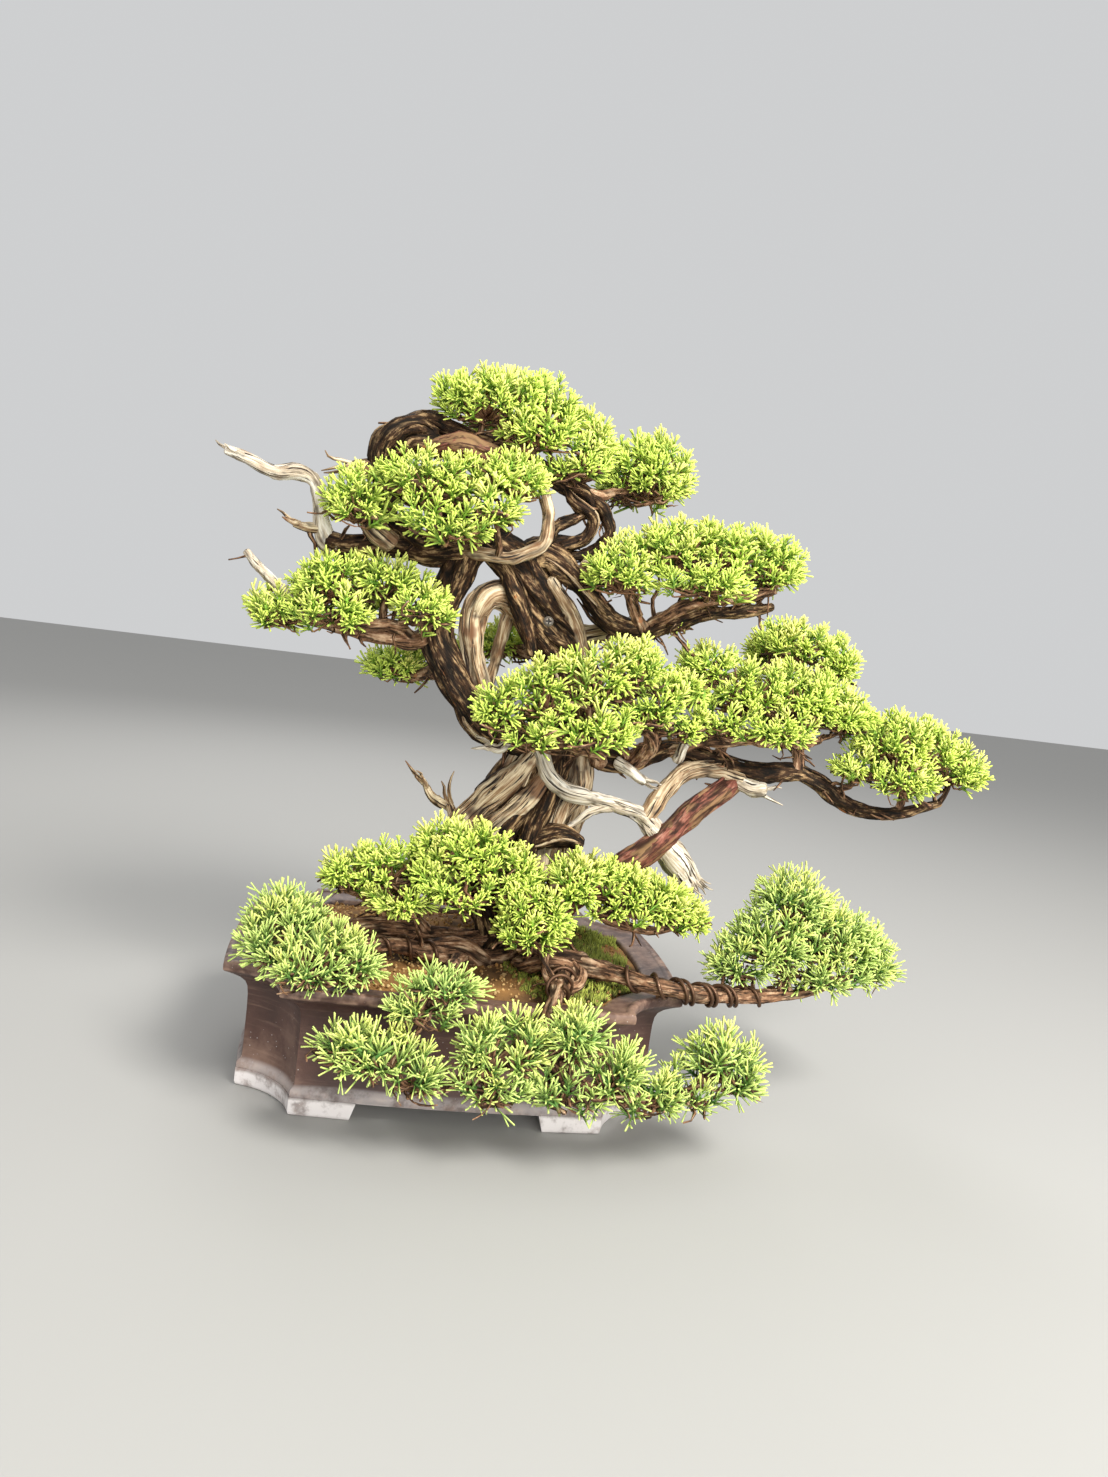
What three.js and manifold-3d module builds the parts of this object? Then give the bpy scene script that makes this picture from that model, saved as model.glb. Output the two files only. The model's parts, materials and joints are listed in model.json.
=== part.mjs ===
// Itoigawa juniper bonsai in a rectangular clay pot with indented corners.
// Millimetres, +Z up. The tree and pot are laid out about the pot's own centre, with z = 0
// under its feet, and the whole group is centred on its footprint at the end.

import * as THREE from 'three';
import { mergeVertices } from 'three/addons/utils/BufferGeometryUtils.js';
import Module from 'manifold-3d';

// Pot
const RIM_LENGTH = 330;
const RIM_WIDTH = 260;
const POT_HEIGHT = 95;
const COVE_RADIUS = 44;
const SIDE_BULGE = 5;
const LONG_SIDE_STEPS = 4;
const SHORT_SIDE_STEPS = 3;
const COVE_STEPS = 4;
const FOOT_HEIGHT = 12;
const FOOT_LENGTH_ALONG_FRONT = 44;
const FOOT_LENGTH_ALONG_SIDE = 36;
const FOOT_BAND = 26;
const FOOT_SLANT = 4;
const FOOT_INSET = 13.5;
const FLOOR_TOP = 21;
const CAVITY_INSET = 25;
const DRAIN_RADIUS = 11;
const DRAIN_OFFSET = 75;
const DRAIN_SIDES = 12;
const SCREEN_SIDE = 36;
const SCREEN_THICKNESS = 1.2;
const SCREEN_BAR = 4;
const SCREEN_OPENINGS = 2;

// Soil
const SOIL_EDGE_HEIGHT = 88;
const SOIL_CROWN_HEIGHT = 94;

// Wood, wire and foliage
const GAP = 0.35;
const LIMB_END_SHARE = 0.45;
const WIRE_RADIUS = 1.4;
const WIRE_CLEARANCE = 0.5;
const SCREW_HEAD_RADIUS = 4;
const SHOOT_RADIUS = 1.1;
const SHOOT_ROOT_SHARE = 0.3;
const SHOOT_REACH = [0.92, 1.04];
const SPIRAL_JITTER = 0.6;
const LOWEST_SHOOT = -0.6;
const HIDDEN_WITHIN = 0.92;
const AREA_PER_SHOOT = 740;
const CORE_SHARE = 0.6;
const CORE_LEAST = 0.3;
const CORE_DETAIL = 1;

const wasm = await Module();
wasm.setup();
const { Manifold, Mesh: SolidMesh } = wasm;

// A closed geometry as a solid that can be joined and cut.
function solidOf(geometry) {
  const bare = geometry.clone();
  bare.deleteAttribute('normal');
  bare.deleteAttribute('uv');
  const merged = mergeVertices(bare, 1e-4);
  return new Manifold(new SolidMesh({
    numProp: 3,
    vertProperties: Float32Array.from(merged.attributes.position.array),
    triVerts: Uint32Array.from(merged.index.array),
  }));
}

// A solid back as a geometry.
function geometryOf(solid) {
  const mesh = solid.getMesh();
  const geometry = new THREE.BufferGeometry();
  geometry.setAttribute('position', new THREE.BufferAttribute(mesh.vertProperties, 3));
  geometry.setIndex(new THREE.BufferAttribute(mesh.triVerts, 1));
  return geometry;
}

function joined(solids) {
  return solids.reduce((sum, next) => sum.add(next));
}

// The largest connected piece: a cut can leave loose scraps, which are dropped.
function largestPiece(solid) {
  const pieces = solid.decompose();
  return pieces.reduce((best, next) => (next.volume() > best.volume() ? next : best));
}

// Seeded random numbers, so that every build gives the same tree.
function randomFrom(seed) {
  let state = seed >>> 0;
  return () => {
    state = (state + 0x6d2b79f5) >>> 0;
    let mixed = Math.imul(state ^ (state >>> 15), state | 1);
    mixed ^= mixed + Math.imul(mixed ^ (mixed >>> 7), mixed | 61);
    return ((mixed ^ (mixed >>> 14)) >>> 0) / 4294967296;
  };
}

// Plan of the pot at a distance inside the rim's outer edge: four slightly bulging sides
// between concave corners, as a closed list of points, anticlockwise from above.
function potOutline(inset) {
  const halfLength = RIM_LENGTH / 2;
  const halfWidth = RIM_WIDTH / 2;
  const radius = COVE_RADIUS + inset;
  const reach = Math.sqrt(radius * radius - inset * inset);
  const start = Math.atan2(inset, reach);
  const longEnd = halfLength - reach;
  const shortEnd = halfWidth - reach;
  const points = [];
  const side = (end, offset, steps, place) => {
    for (let i = 0; i < steps; i += 1) {
      const along = end * (2 * (i / steps) - 1);
      const out = offset + SIDE_BULGE * (1 - (along / end) ** 2);
      points.push(place(along, out));
    }
  };
  const cove = (cornerX, cornerY, from) => {
    for (let i = 0; i < COVE_STEPS; i += 1) {
      const angle = from - start - (i / COVE_STEPS) * (Math.PI / 2 - 2 * start);
      points.push([cornerX + radius * Math.cos(angle), cornerY + radius * Math.sin(angle)]);
    }
  };
  side(longEnd, halfWidth - inset, LONG_SIDE_STEPS, (along, out) => [along, -out]);
  cove(halfLength, -halfWidth, Math.PI);
  side(shortEnd, halfLength - inset, SHORT_SIDE_STEPS, (along, out) => [out, along]);
  cove(halfLength, halfWidth, 1.5 * Math.PI);
  side(longEnd, halfWidth - inset, LONG_SIDE_STEPS, (along, out) => [-along, out]);
  cove(-halfLength, halfWidth, 2 * Math.PI);
  side(shortEnd, halfLength - inset, SHORT_SIDE_STEPS, (along, out) => [-out, -along]);
  cove(-halfLength, -halfWidth, Math.PI / 2);
  return points;
}

// A closed body from stacked pot outlines, given as [inset, height] pairs from the bottom up.
function stackedOutlines(profile) {
  const rings = profile.map(([inset]) => potOutline(inset));
  const count = rings[0].length;
  const positions = [];
  rings.forEach((ring, level) => {
    ring.forEach(([x, y]) => positions.push(x, y, profile[level][1]));
  });
  const index = [];
  for (let level = 0; level + 1 < rings.length; level += 1) {
    for (let i = 0; i < count; i += 1) {
      const a = level * count + i;
      const b = level * count + ((i + 1) % count);
      index.push(a, b, b + count, a, b + count, a + count);
    }
  }
  const cap = (level, up) => {
    const flat = rings[level].map(([x, y]) => new THREE.Vector2(x, y));
    THREE.ShapeUtils.triangulateShape(flat, []).forEach(([a, b, c]) => {
      const base = level * count;
      index.push(base + a, base + (up ? b : c), base + (up ? c : b));
    });
  };
  cap(0, false);
  cap(rings.length - 1, true);
  const geometry = new THREE.BufferGeometry();
  geometry.setAttribute('position', new THREE.Float32BufferAttribute(positions, 3));
  geometry.setIndex(index);
  return solidOf(geometry);
}

// A flat outline raised from one height to another.
function prism(points, bottom, top) {
  const shape = new THREE.Shape(points.map(([x, y]) => new THREE.Vector2(x, y)));
  const geometry = new THREE.ExtrudeGeometry(shape, { depth: top - bottom, bevelEnabled: false });
  geometry.translate(0, 0, bottom);
  return solidOf(geometry);
}

function upright(radius, bottom, top, x, y) {
  const geometry = new THREE.CylinderGeometry(radius, radius, top - bottom, DRAIN_SIDES);
  geometry.rotateX(Math.PI / 2);
  geometry.translate(x, y, (top + bottom) / 2);
  return solidOf(geometry);
}

// The pot's wall, floor and rim, from the underside up the outside, over the lip and down
// the inside to the floor.
const POT_PROFILE = [
  [19, FOOT_HEIGHT], [14, 14], [14, 18], [17, 21], [17, 60], [15.5, 76], [4, 86], [0, 88.5], [0, 93.5],
  [2, POT_HEIGHT], [5.5, POT_HEIGHT], [7, 93], [22, 92], [24, 88], [CAVITY_INSET, FLOOR_TOP],
];

// Four low feet that wrap the indented corners, with slanted ends.
function potFeet() {
  const outer = potOutline(FOOT_INSET);
  const inner = potOutline(FOOT_INSET + FOOT_BAND);
  const band = prism(outer, 0, FOOT_HEIGHT + 1.5).subtract(prism(inner, -1, FOOT_HEIGHT + 3));
  const corner = COVE_RADIUS + FOOT_INSET;
  const openX = RIM_LENGTH / 2 - corner - FOOT_LENGTH_ALONG_FRONT;
  const openY = RIM_WIDTH / 2 - corner - FOOT_LENGTH_ALONG_SIDE;
  const opening = (half) => [
    [-half - FOOT_SLANT, -1], [half + FOOT_SLANT, -1], [half, FOOT_HEIGHT + 3], [-half, FOOT_HEIGHT + 3],
  ];
  const through = (half, turn) => {
    const shape = new THREE.Shape(opening(half).map(([x, y]) => new THREE.Vector2(x, y)));
    const geometry = new THREE.ExtrudeGeometry(shape, { depth: 2 * RIM_LENGTH, bevelEnabled: false });
    geometry.translate(0, 0, -RIM_LENGTH);
    geometry.rotateX(Math.PI / 2);
    geometry.rotateZ(turn);
    return solidOf(geometry);
  };
  return band.subtract(through(openX, 0)).subtract(through(openY, Math.PI / 2));
}

function makePot() {
  const body = stackedOutlines(POT_PROFILE).add(potFeet());
  return [-DRAIN_OFFSET, DRAIN_OFFSET].reduce(
    (pot, x) => pot.subtract(upright(DRAIN_RADIUS, 0, FLOOR_TOP + 1, x, 0)),
    body,
  );
}

// A square plastic screen with a grid of openings, lying over a drain hole.
function makeScreen(x) {
  const slab = (side, thickness, centreX, centreY) => {
    const geometry = new THREE.BoxGeometry(side, side, thickness);
    geometry.translate(centreX, centreY, FLOOR_TOP + GAP + SCREEN_THICKNESS / 2);
    return solidOf(geometry);
  };
  const pitch = SCREEN_SIDE / SCREEN_OPENINGS;
  let screen = slab(SCREEN_SIDE, SCREEN_THICKNESS, x, 0);
  for (let i = 0; i < SCREEN_OPENINGS; i += 1) {
    for (let j = 0; j < SCREEN_OPENINGS; j += 1) {
      const centreX = x - SCREEN_SIDE / 2 + pitch * (i + 0.5);
      const centreY = -SCREEN_SIDE / 2 + pitch * (j + 0.5);
      screen = screen.subtract(slab(pitch - SCREEN_BAR, 2 * SCREEN_THICKNESS, centreX, centreY));
    }
  }
  return geometryOf(screen);
}

// A tapering limb along a smooth curve through [x, y, z, radius] points, closed at both ends.
// grow makes the same limb a little fatter and longer, to cut its seat in a neighbour.
function limb(points, { sides, spacing, grow = 0, ridges = 0, ridgeDepth = 0, twist = 0 }) {
  const centres = points.map(([x, y, z]) => new THREE.Vector3(x, y, z));
  const curve = new THREE.CatmullRomCurve3(centres, false, 'centripetal');
  const steps = Math.max(2, Math.round(curve.getLength() / spacing));
  const frames = curve.computeFrenetFrames(steps, false);
  const radiusAt = (u) => {
    const t = curve.getUtoTmapping(u) * (points.length - 1);
    const i = Math.min(Math.floor(t), points.length - 2);
    return THREE.MathUtils.lerp(points[i][3], points[i + 1][3], t - i) + grow;
  };
  const positions = [];
  const index = [];
  for (let step = 0; step <= steps; step += 1) {
    const u = step / steps;
    const centre = curve.getPointAt(u);
    for (let j = 0; j < sides; j += 1) {
      const angle = (2 * Math.PI * j) / sides;
      const ridge = 1 + ridgeDepth * Math.cos(ridges * angle + twist * u);
      const radius = radiusAt(u) * ridge;
      const out = frames.normals[step].clone().multiplyScalar(radius * Math.cos(angle));
      out.addScaledVector(frames.binormals[step], radius * Math.sin(angle));
      positions.push(centre.x + out.x, centre.y + out.y, centre.z + out.z);
    }
  }
  for (let step = 0; step < steps; step += 1) {
    for (let j = 0; j < sides; j += 1) {
      const a = step * sides + j;
      const b = step * sides + ((j + 1) % sides);
      index.push(a, b, b + sides, a, b + sides, a + sides);
    }
  }
  const tip = (u, step, sign) => {
    const reach = LIMB_END_SHARE * radiusAt(u) + grow;
    const end = curve.getPointAt(u).addScaledVector(frames.tangents[step], sign * reach);
    positions.push(end.x, end.y, end.z);
    return positions.length / 3 - 1;
  };
  const first = tip(0, 0, -1);
  const last = tip(1, steps, 1);
  for (let j = 0; j < sides; j += 1) {
    const next = (j + 1) % sides;
    index.push(first, next, j);
    index.push(last, steps * sides + j, steps * sides + next);
  }
  const geometry = new THREE.BufferGeometry();
  geometry.setAttribute('position', new THREE.Float32BufferAttribute(positions, 3));
  geometry.setIndex(index);
  return solidOf(geometry);
}

// The tree's wood, limb by limb, as [x, y, z, radius] points chosen by hand.
const TRUNK = [
  [58, 18, 60, 28], [50, 15, 92, 35], [36, 8, 135, 31], [29, 5, 185, 27], [40, 5, 222, 24],
  [57, 10, 252, 21], [68, 15, 281, 19], [69, 18, 305, 19], [55, 15, 335, 21], [30, 10, 368, 20],
  [11, 5, 396, 17], [-8, 0, 410, 14],
];
const TRUNK_FOLDS = [
  [[-22, -12, 165, 7], [-13, -18, 190, 9], [4, -17, 211, 10], [26, -13, 230, 10], [45, -6, 252, 8]],
  [[2, -20, 150, 9], [8, -23, 178, 10], [25, -21, 200, 11], [42, -15, 222, 10], [52, -7, 244, 8]],
  [[58, -14, 160, 9], [66, -9, 205, 10], [77, -4, 232, 10], [79, 2, 259, 9], [74, 8, 285, 8]],
  [[-10, -14, 190, 6], [-19, -16, 208, 3]],
  [[45, -22, 188, 8], [68, -26, 195, 9], [84, -27, 190, 6]],
];
const LEFT_LIMB = [
  [57, 5, 258, 15], [22, -5, 263, 13], [-4, -13, 270, 10], [-16, -15, 287, 10], [-33, -12, 314, 11],
  [-43, -10, 334, 12], [-42, -5, 358, 12], [-34, 0, 382, 13], [-24, 0, 405, 14],
];
const HOLLOW_ARCH = [
  [-3, -12, 272, 9], [-8, -5, 298, 9], [-15, -5, 327, 9], [-18, -5, 354, 9], [-8, -5, 371, 9],
  [6, 0, 370, 10], [22, 8, 356, 9], [34, 14, 344, 6],
];
const HOLLOW_BACK = [[-2, 6, 288, 5], [4, 8, 318, 4], [8, 7, 348, 5], [12, 5, 362, 6]];
const LOWER_JIN = [
  [45, -10, 262, 6], [53, -22, 240, 6], [67, -27, 230, 6], [87, -27, 226, 5.5], [106, -25, 224, 5.5],
  [128, -25, 217, 6], [141, -25, 206, 8.5], [155, -23, 191, 11], [167, -21, 178, 12], [176, -19, 165, 10],
];
const LOWER_JIN_STUB = [[74, -22, 202, 2.5], [89, -26, 215, 3.5], [107, -25, 222, 3.5]];
const RIGHT_ARCH = [
  [132, -25, 214, 7], [150, -20, 242, 7], [164, -18, 255, 7], [185, -15, 257, 7], [206, -15, 252, 8],
];
const RED_BRANCH = [
  [62, 0, 115, 13], [85, -12, 143, 10], [105, -22, 162, 9.5], [127, -32, 185, 8.5], [145, -33, 200, 8.5],
  [167, -30, 222, 8.5], [190, -24, 241, 8.5], [199, -16, 246, 7.5], [207, -10, 251, 6],
];
const RIGHT_BRANCH = [
  [66, 14, 283, 13], [83, 5, 262, 11], [100, 0, 254, 9], [117, 0, 254, 8], [135, -2, 262, 7],
  [151, -5, 269, 7], [187, -10, 263, 7], [219, -15, 258, 8], [253, -15, 262, 7], [275, -15, 254, 6],
  [291, -15, 243, 5.5], [312, -15, 237, 5], [341, -15, 238, 4.5], [375, -15, 251, 3],
];
const UPPER_RIGHT_BRANCH = [
  [8, 4, 396, 12], [32, 0, 408, 10.5], [52, -5, 397, 10], [69, -10, 380, 9.5], [89, -14, 362, 9],
  [111, -15, 357, 7], [131, -15, 365, 6], [156, -15, 376, 5.5], [187, -15, 382, 4.5], [212, -15, 389, 3.5],
];
const BROKEN_LIMB = [[50, 14, 343, 10], [75, 20, 350, 8], [95, 26, 355, 7]];
const UPPER_LEFT_JIN = [
  [-20, 0, 404, 13], [-48, -4, 398, 11], [-70, -5, 399, 10], [-96, -5, 396, 9], [-118, -5, 392, 8.5],
  [-130, -5, 393, 8], [-136, -5, 404, 6.5], [-141, -5, 423, 5], [-146, -8, 436, 5], [-156, -10, 440, 5],
  [-173, -14, 438, 5], [-190, -18, 444, 4], [-207, -20, 448, 3.5],
];
const UPPER_LEFT_STUB = [[-132, -5, 403, 4], [-146, -7, 402, 3.5], [-156, -8, 404, 2.5]];
const CROWN_LIMB = [
  [-18, 0, 406, 13], [-34, 0, 424, 12.5], [-50, 4, 437, 12], [-74, 5, 441, 11], [-90, 4, 449, 11],
  [-96, 0, 462, 9], [-91, 0, 478, 7.5], [-80, 0, 489, 7], [-70, 0, 494, 6.5], [-54, 0, 489, 6.5],
  [-35, -2, 484, 6.5], [-16, -2, 481, 6.5], [4, 0, 477, 6.5], [24, 0, 470, 6.5], [41, 0, 461, 7],
  [57, 2, 457, 6], [66, 5, 445, 5], [66, 8, 428, 5], [54, 5, 418, 5], [36, 2, 415, 6], [18, 3, 405, 7],
];
const PALE_LOOP = [
  [24, -2, 468, 4], [24, -14, 452, 4], [29, -24, 432, 4], [26, -28, 412, 4.5], [6, -28, 399, 5],
  [-14, -22, 399, 5], [-28, -8, 400, 5],
];
const ROOTS = [
  [[48, 10, 106, 16], [20, 22, 91, 10], [0, 28, 82, 5]],
  [[56, 22, 104, 15], [78, 46, 89, 9], [88, 60, 81, 5]],
  [[44, 0, 104, 14], [24, -26, 89, 9], [12, -38, 81, 5]],
];
const LOW_BRANCHES = {
  left: [
    [48, 8, 100, 11], [10, -8, 101, 8], [-22, -22, 106, 7.5], [-57, -38, 115, 7], [-88, -52, 116, 6],
    [-108, -68, 118, 4], [-122, -84, 118, 3],
  ],
  leftFront: [
    [45, -5, 97, 9], [32, -35, 97, 7], [1, -48, 99, 6.5], [-22, -55, 103, 6], [-48, -60, 108, 5.5],
    [-72, -78, 110, 4], [-94, -104, 112, 3],
  ],
  front: [
    [50, -8, 98, 11], [66, -40, 99, 9], [75, -75, 101, 8], [69, -105, 104, 6.5], [62, -134, 104, 5.5],
    [56, -154, 97, 5], [53, -164, 80, 4.5], [66, -170, 62, 3.5],
  ],
  right: [
    [64, -30, 102, 10], [88, -60, 105, 8], [110, -76, 106, 6.5], [130, -90, 106, 6], [151, -98, 105, 6],
    [172, -93, 101, 6], [196, -80, 97, 5.5], [224, -70, 95, 5], [250, -65, 96, 4.5], [270, -62, 99, 3.5],
    [290, -58, 107, 2.5],
  ],
};
const TWIGS = {
  lowerLeftPads: [
    [[-22, -22, 106, 5], [-40, -38, 132, 4], [-52, -52, 154, 2.5]],
    [[22, -18, 150, 8], [10, -45, 166, 5], [0, -66, 180, 2.5]],
    [[60, -10, 138, 8], [74, -42, 154, 5], [92, -68, 166, 3.5], [120, -70, 165, 2.5]],
  ],
  cascade: [
    [[56, -156, 94, 4], [30, -168, 74, 4], [2, -174, 58, 3.5], [-30, -172, 50, 3], [-44, -170, 62, 2.5]],
    [[53, -164, 78, 4], [85, -173, 60, 3.5], [116, -168, 50, 3.5], [150, -160, 54, 3], [176, -152, 70, 2.5]],
    [[2, -50, 99, 5], [-10, -95, 106, 4], [-18, -130, 106, 3.5], [-20, -150, 112, 2.5]],
    [[2, -174, 58, 3.5], [10, -178, 62, 3], [20, -175, 76, 2.5]],
  ],
  lowRight: [
    [[252, -65, 96, 4.5], [250, -55, 112, 3.5], [246, -50, 128, 2.5]],
    [[272, -62, 99, 3.5], [282, -52, 114, 3], [290, -42, 130, 2.5]],
  ],
  leftPad: [
    [[-42, -8, 338, 8], [-60, -14, 330, 6], [-82, -22, 328, 5], [-110, -26, 331, 4.5], [-138, -24, 334, 3.5]],
    [[-84, -22, 328, 4], [-84, -24, 348, 3], [-82, -26, 366, 2.5]],
    [[-136, -22, 336, 4], [-162, -15, 356, 4], [-178, -17, 370, 3.5], [-187, -18, 379, 2.5]],
  ],
  backLeft: [
    [[-33, -8, 314, 7], [-44, 26, 304, 5], [-60, 52, 299, 4], [-76, 62, 302, 2.5]],
    [[46, 24, 334, 8], [30, 50, 331, 5], [12, 66, 334, 2.5]],
  ],
  right: [
    [[156, -15, 376, 4.5], [160, -14, 396, 3.5], [168, -14, 416, 2.5]],
    [[112, -15, 358, 5], [100, -24, 378, 4], [90, -30, 394, 2.5]],
    [[132, -15, 365, 4], [136, -12, 364, 3.5], [141, -10, 367, 2.5]],
  ],
  midRight: [
    [[187, -10, 263, 5.5], [196, -10, 290, 4], [202, -10, 314, 2.5]],
    [[253, -15, 262, 5], [250, -12, 288, 4], [247, -10, 312, 2.5]],
    [[341, -15, 238, 4], [342, -16, 262, 3.5], [342, -15, 286, 2.5]],
    [[118, 0, 254, 6], [104, -24, 272, 4.5], [84, -50, 292, 3.5], [60, -62, 300, 2.5]],
  ],
  backRight: [
    [[68, 22, 290, 10], [118, 45, 306, 6], [180, 56, 320, 5], [230, 56, 338, 4], [258, 50, 358, 2.5]],
  ],
  crown: [
    [[4, 0, 477, 5], [8, 4, 494, 3.5], [10, 5, 508, 2.5]],
    [[57, 2, 457, 5], [80, 12, 461, 4], [104, 20, 472, 2.5]],
    [[-54, 4, 437, 7], [-57, -20, 440, 4], [-60, -42, 444, 2.5]],
  ],
  backLow: [[[52, 28, 120, 10], [60, 58, 124, 6], [68, 86, 138, 2.5]]],
};

const TRUNK_STYLE = { sides: 8, spacing: 30, ridges: 3, ridgeDepth: 0.09, twist: 4 };
const LIMB_STYLE = { sides: 6, spacing: 26 };
const BRANCH_STYLE = { sides: 5, spacing: 27 };
const TWIG_STYLE = { sides: 4, spacing: 36 };

// Every limb with its style, from the trunk out to the twigs.
function woodLimbs(grow) {
  const make = (style) => (points) => limb(points, { ...style, grow });
  return [
    make(TRUNK_STYLE)(TRUNK),
    ...[LEFT_LIMB, HOLLOW_ARCH, RED_BRANCH, RIGHT_BRANCH, UPPER_RIGHT_BRANCH].map(make(LIMB_STYLE)),
    ...[CROWN_LIMB, UPPER_LEFT_JIN].map(make(LIMB_STYLE)),
    ...[LOWER_JIN, RIGHT_ARCH, BROKEN_LIMB, ...TRUNK_FOLDS].map(make(BRANCH_STYLE)),
    ...[LOWER_JIN_STUB, UPPER_LEFT_STUB, HOLLOW_BACK, PALE_LOOP].map(make(TWIG_STYLE)),
    ...ROOTS.map(make(BRANCH_STYLE)),
    ...Object.values(LOW_BRANCHES).map(make(BRANCH_STYLE)),
    ...Object.values(TWIGS).flat().map(make(TWIG_STYLE)),
  ];
}

// Training wire wound round a limb: a tube along a helix that follows the limb's curve.
const WIRES = {
  wire_right_branch_a: { route: LOW_BRANCHES.right, from: 0.3, to: 0.8, turns: 6, phase: 0 },
  wire_right_branch_b: { route: LOW_BRANCHES.right, from: 0.4, to: 0.7, turns: 3.6, phase: 2.8 },
  wire_front_branch: { route: LOW_BRANCHES.front, from: 0.38, to: 0.64, turns: 2.6, phase: 2 },
  wire_left_branch: { route: LOW_BRANCHES.leftFront, from: 0.42, to: 0.72, turns: 2.8, phase: 1 },
};
const WIRE_STEPS_PER_TURN = 6;
const WIRE_SIDES = 4;
const ROUTE_STEPS = 200;

function woundWire({ route, from, to, turns, phase }, grow = 0) {
  const centres = route.map(([x, y, z]) => new THREE.Vector3(x, y, z));
  const curve = new THREE.CatmullRomCurve3(centres, false, 'centripetal');
  const frames = curve.computeFrenetFrames(ROUTE_STEPS, false);
  const steps = Math.round(turns * WIRE_STEPS_PER_TURN);
  const chordRise = 1 / Math.cos(Math.PI / WIRE_STEPS_PER_TURN);
  const points = [];
  for (let step = 0; step <= steps; step += 1) {
    const u = THREE.MathUtils.lerp(from, to, step / steps);
    const t = curve.getUtoTmapping(u) * (route.length - 1);
    const i = Math.min(Math.floor(t), route.length - 2);
    const wood = THREE.MathUtils.lerp(route[i][3], route[i + 1][3], t - i);
    const radius = (wood + WIRE_RADIUS + WIRE_CLEARANCE) * chordRise;
    const angle = phase + (2 * Math.PI * turns * step) / steps;
    const k = Math.round(u * ROUTE_STEPS);
    const point = curve.getPointAt(u);
    point.addScaledVector(frames.normals[k], radius * Math.cos(angle));
    point.addScaledVector(frames.binormals[k], radius * Math.sin(angle));
    points.push(point);
  }
  const smooth = new THREE.CatmullRomCurve3(points, false, 'centripetal');
  const section = new THREE.Shape();
  section.setFromPoints(Array.from({ length: WIRE_SIDES }, (_, j) => {
    const angle = (2 * Math.PI * j) / WIRE_SIDES;
    return new THREE.Vector2(Math.cos(angle), Math.sin(angle)).multiplyScalar(WIRE_RADIUS + grow);
  }));
  const geometry = new THREE.ExtrudeGeometry(section, { steps, extrudePath: smooth, bevelEnabled: false });
  return solidOf(geometry);
}

// Cross-head screw driven into the front of the upper trunk.
const SCREW_PLACE = new THREE.Vector3(40, -9, 356);
const SCREW_TILT = -0.15;

function placedScrew(profile, slotted) {
  const lathe = new THREE.LatheGeometry(profile.map(([r, h]) => new THREE.Vector2(r, h)), 12);
  let screw = solidOf(lathe);
  if (slotted) {
    [0, Math.PI / 2].forEach((turn) => {
      const slot = new THREE.BoxGeometry(4.2, 1.6, 0.9);
      slot.rotateY(turn);
      slot.translate(0, 2.4, 0);
      screw = screw.subtract(solidOf(slot));
    });
  }
  const geometry = geometryOf(screw);
  geometry.rotateX(Math.PI + SCREW_TILT);
  geometry.translate(SCREW_PLACE.x, SCREW_PLACE.y, SCREW_PLACE.z);
  return solidOf(geometry);
}

function makeScrew() {
  const head = SCREW_HEAD_RADIUS;
  return placedScrew([[0, -14], [1.4, -12], [1.8, 0], [head, 0], [head, 1.4], [2.6, 2.8], [0, 3]], true);
}

function screwSeat() {
  const head = SCREW_HEAD_RADIUS + GAP;
  return placedScrew([[0, -15], [2.2, -13], [2.2, -GAP], [head, -GAP], [head, 14], [0, 14]], false);
}

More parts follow.
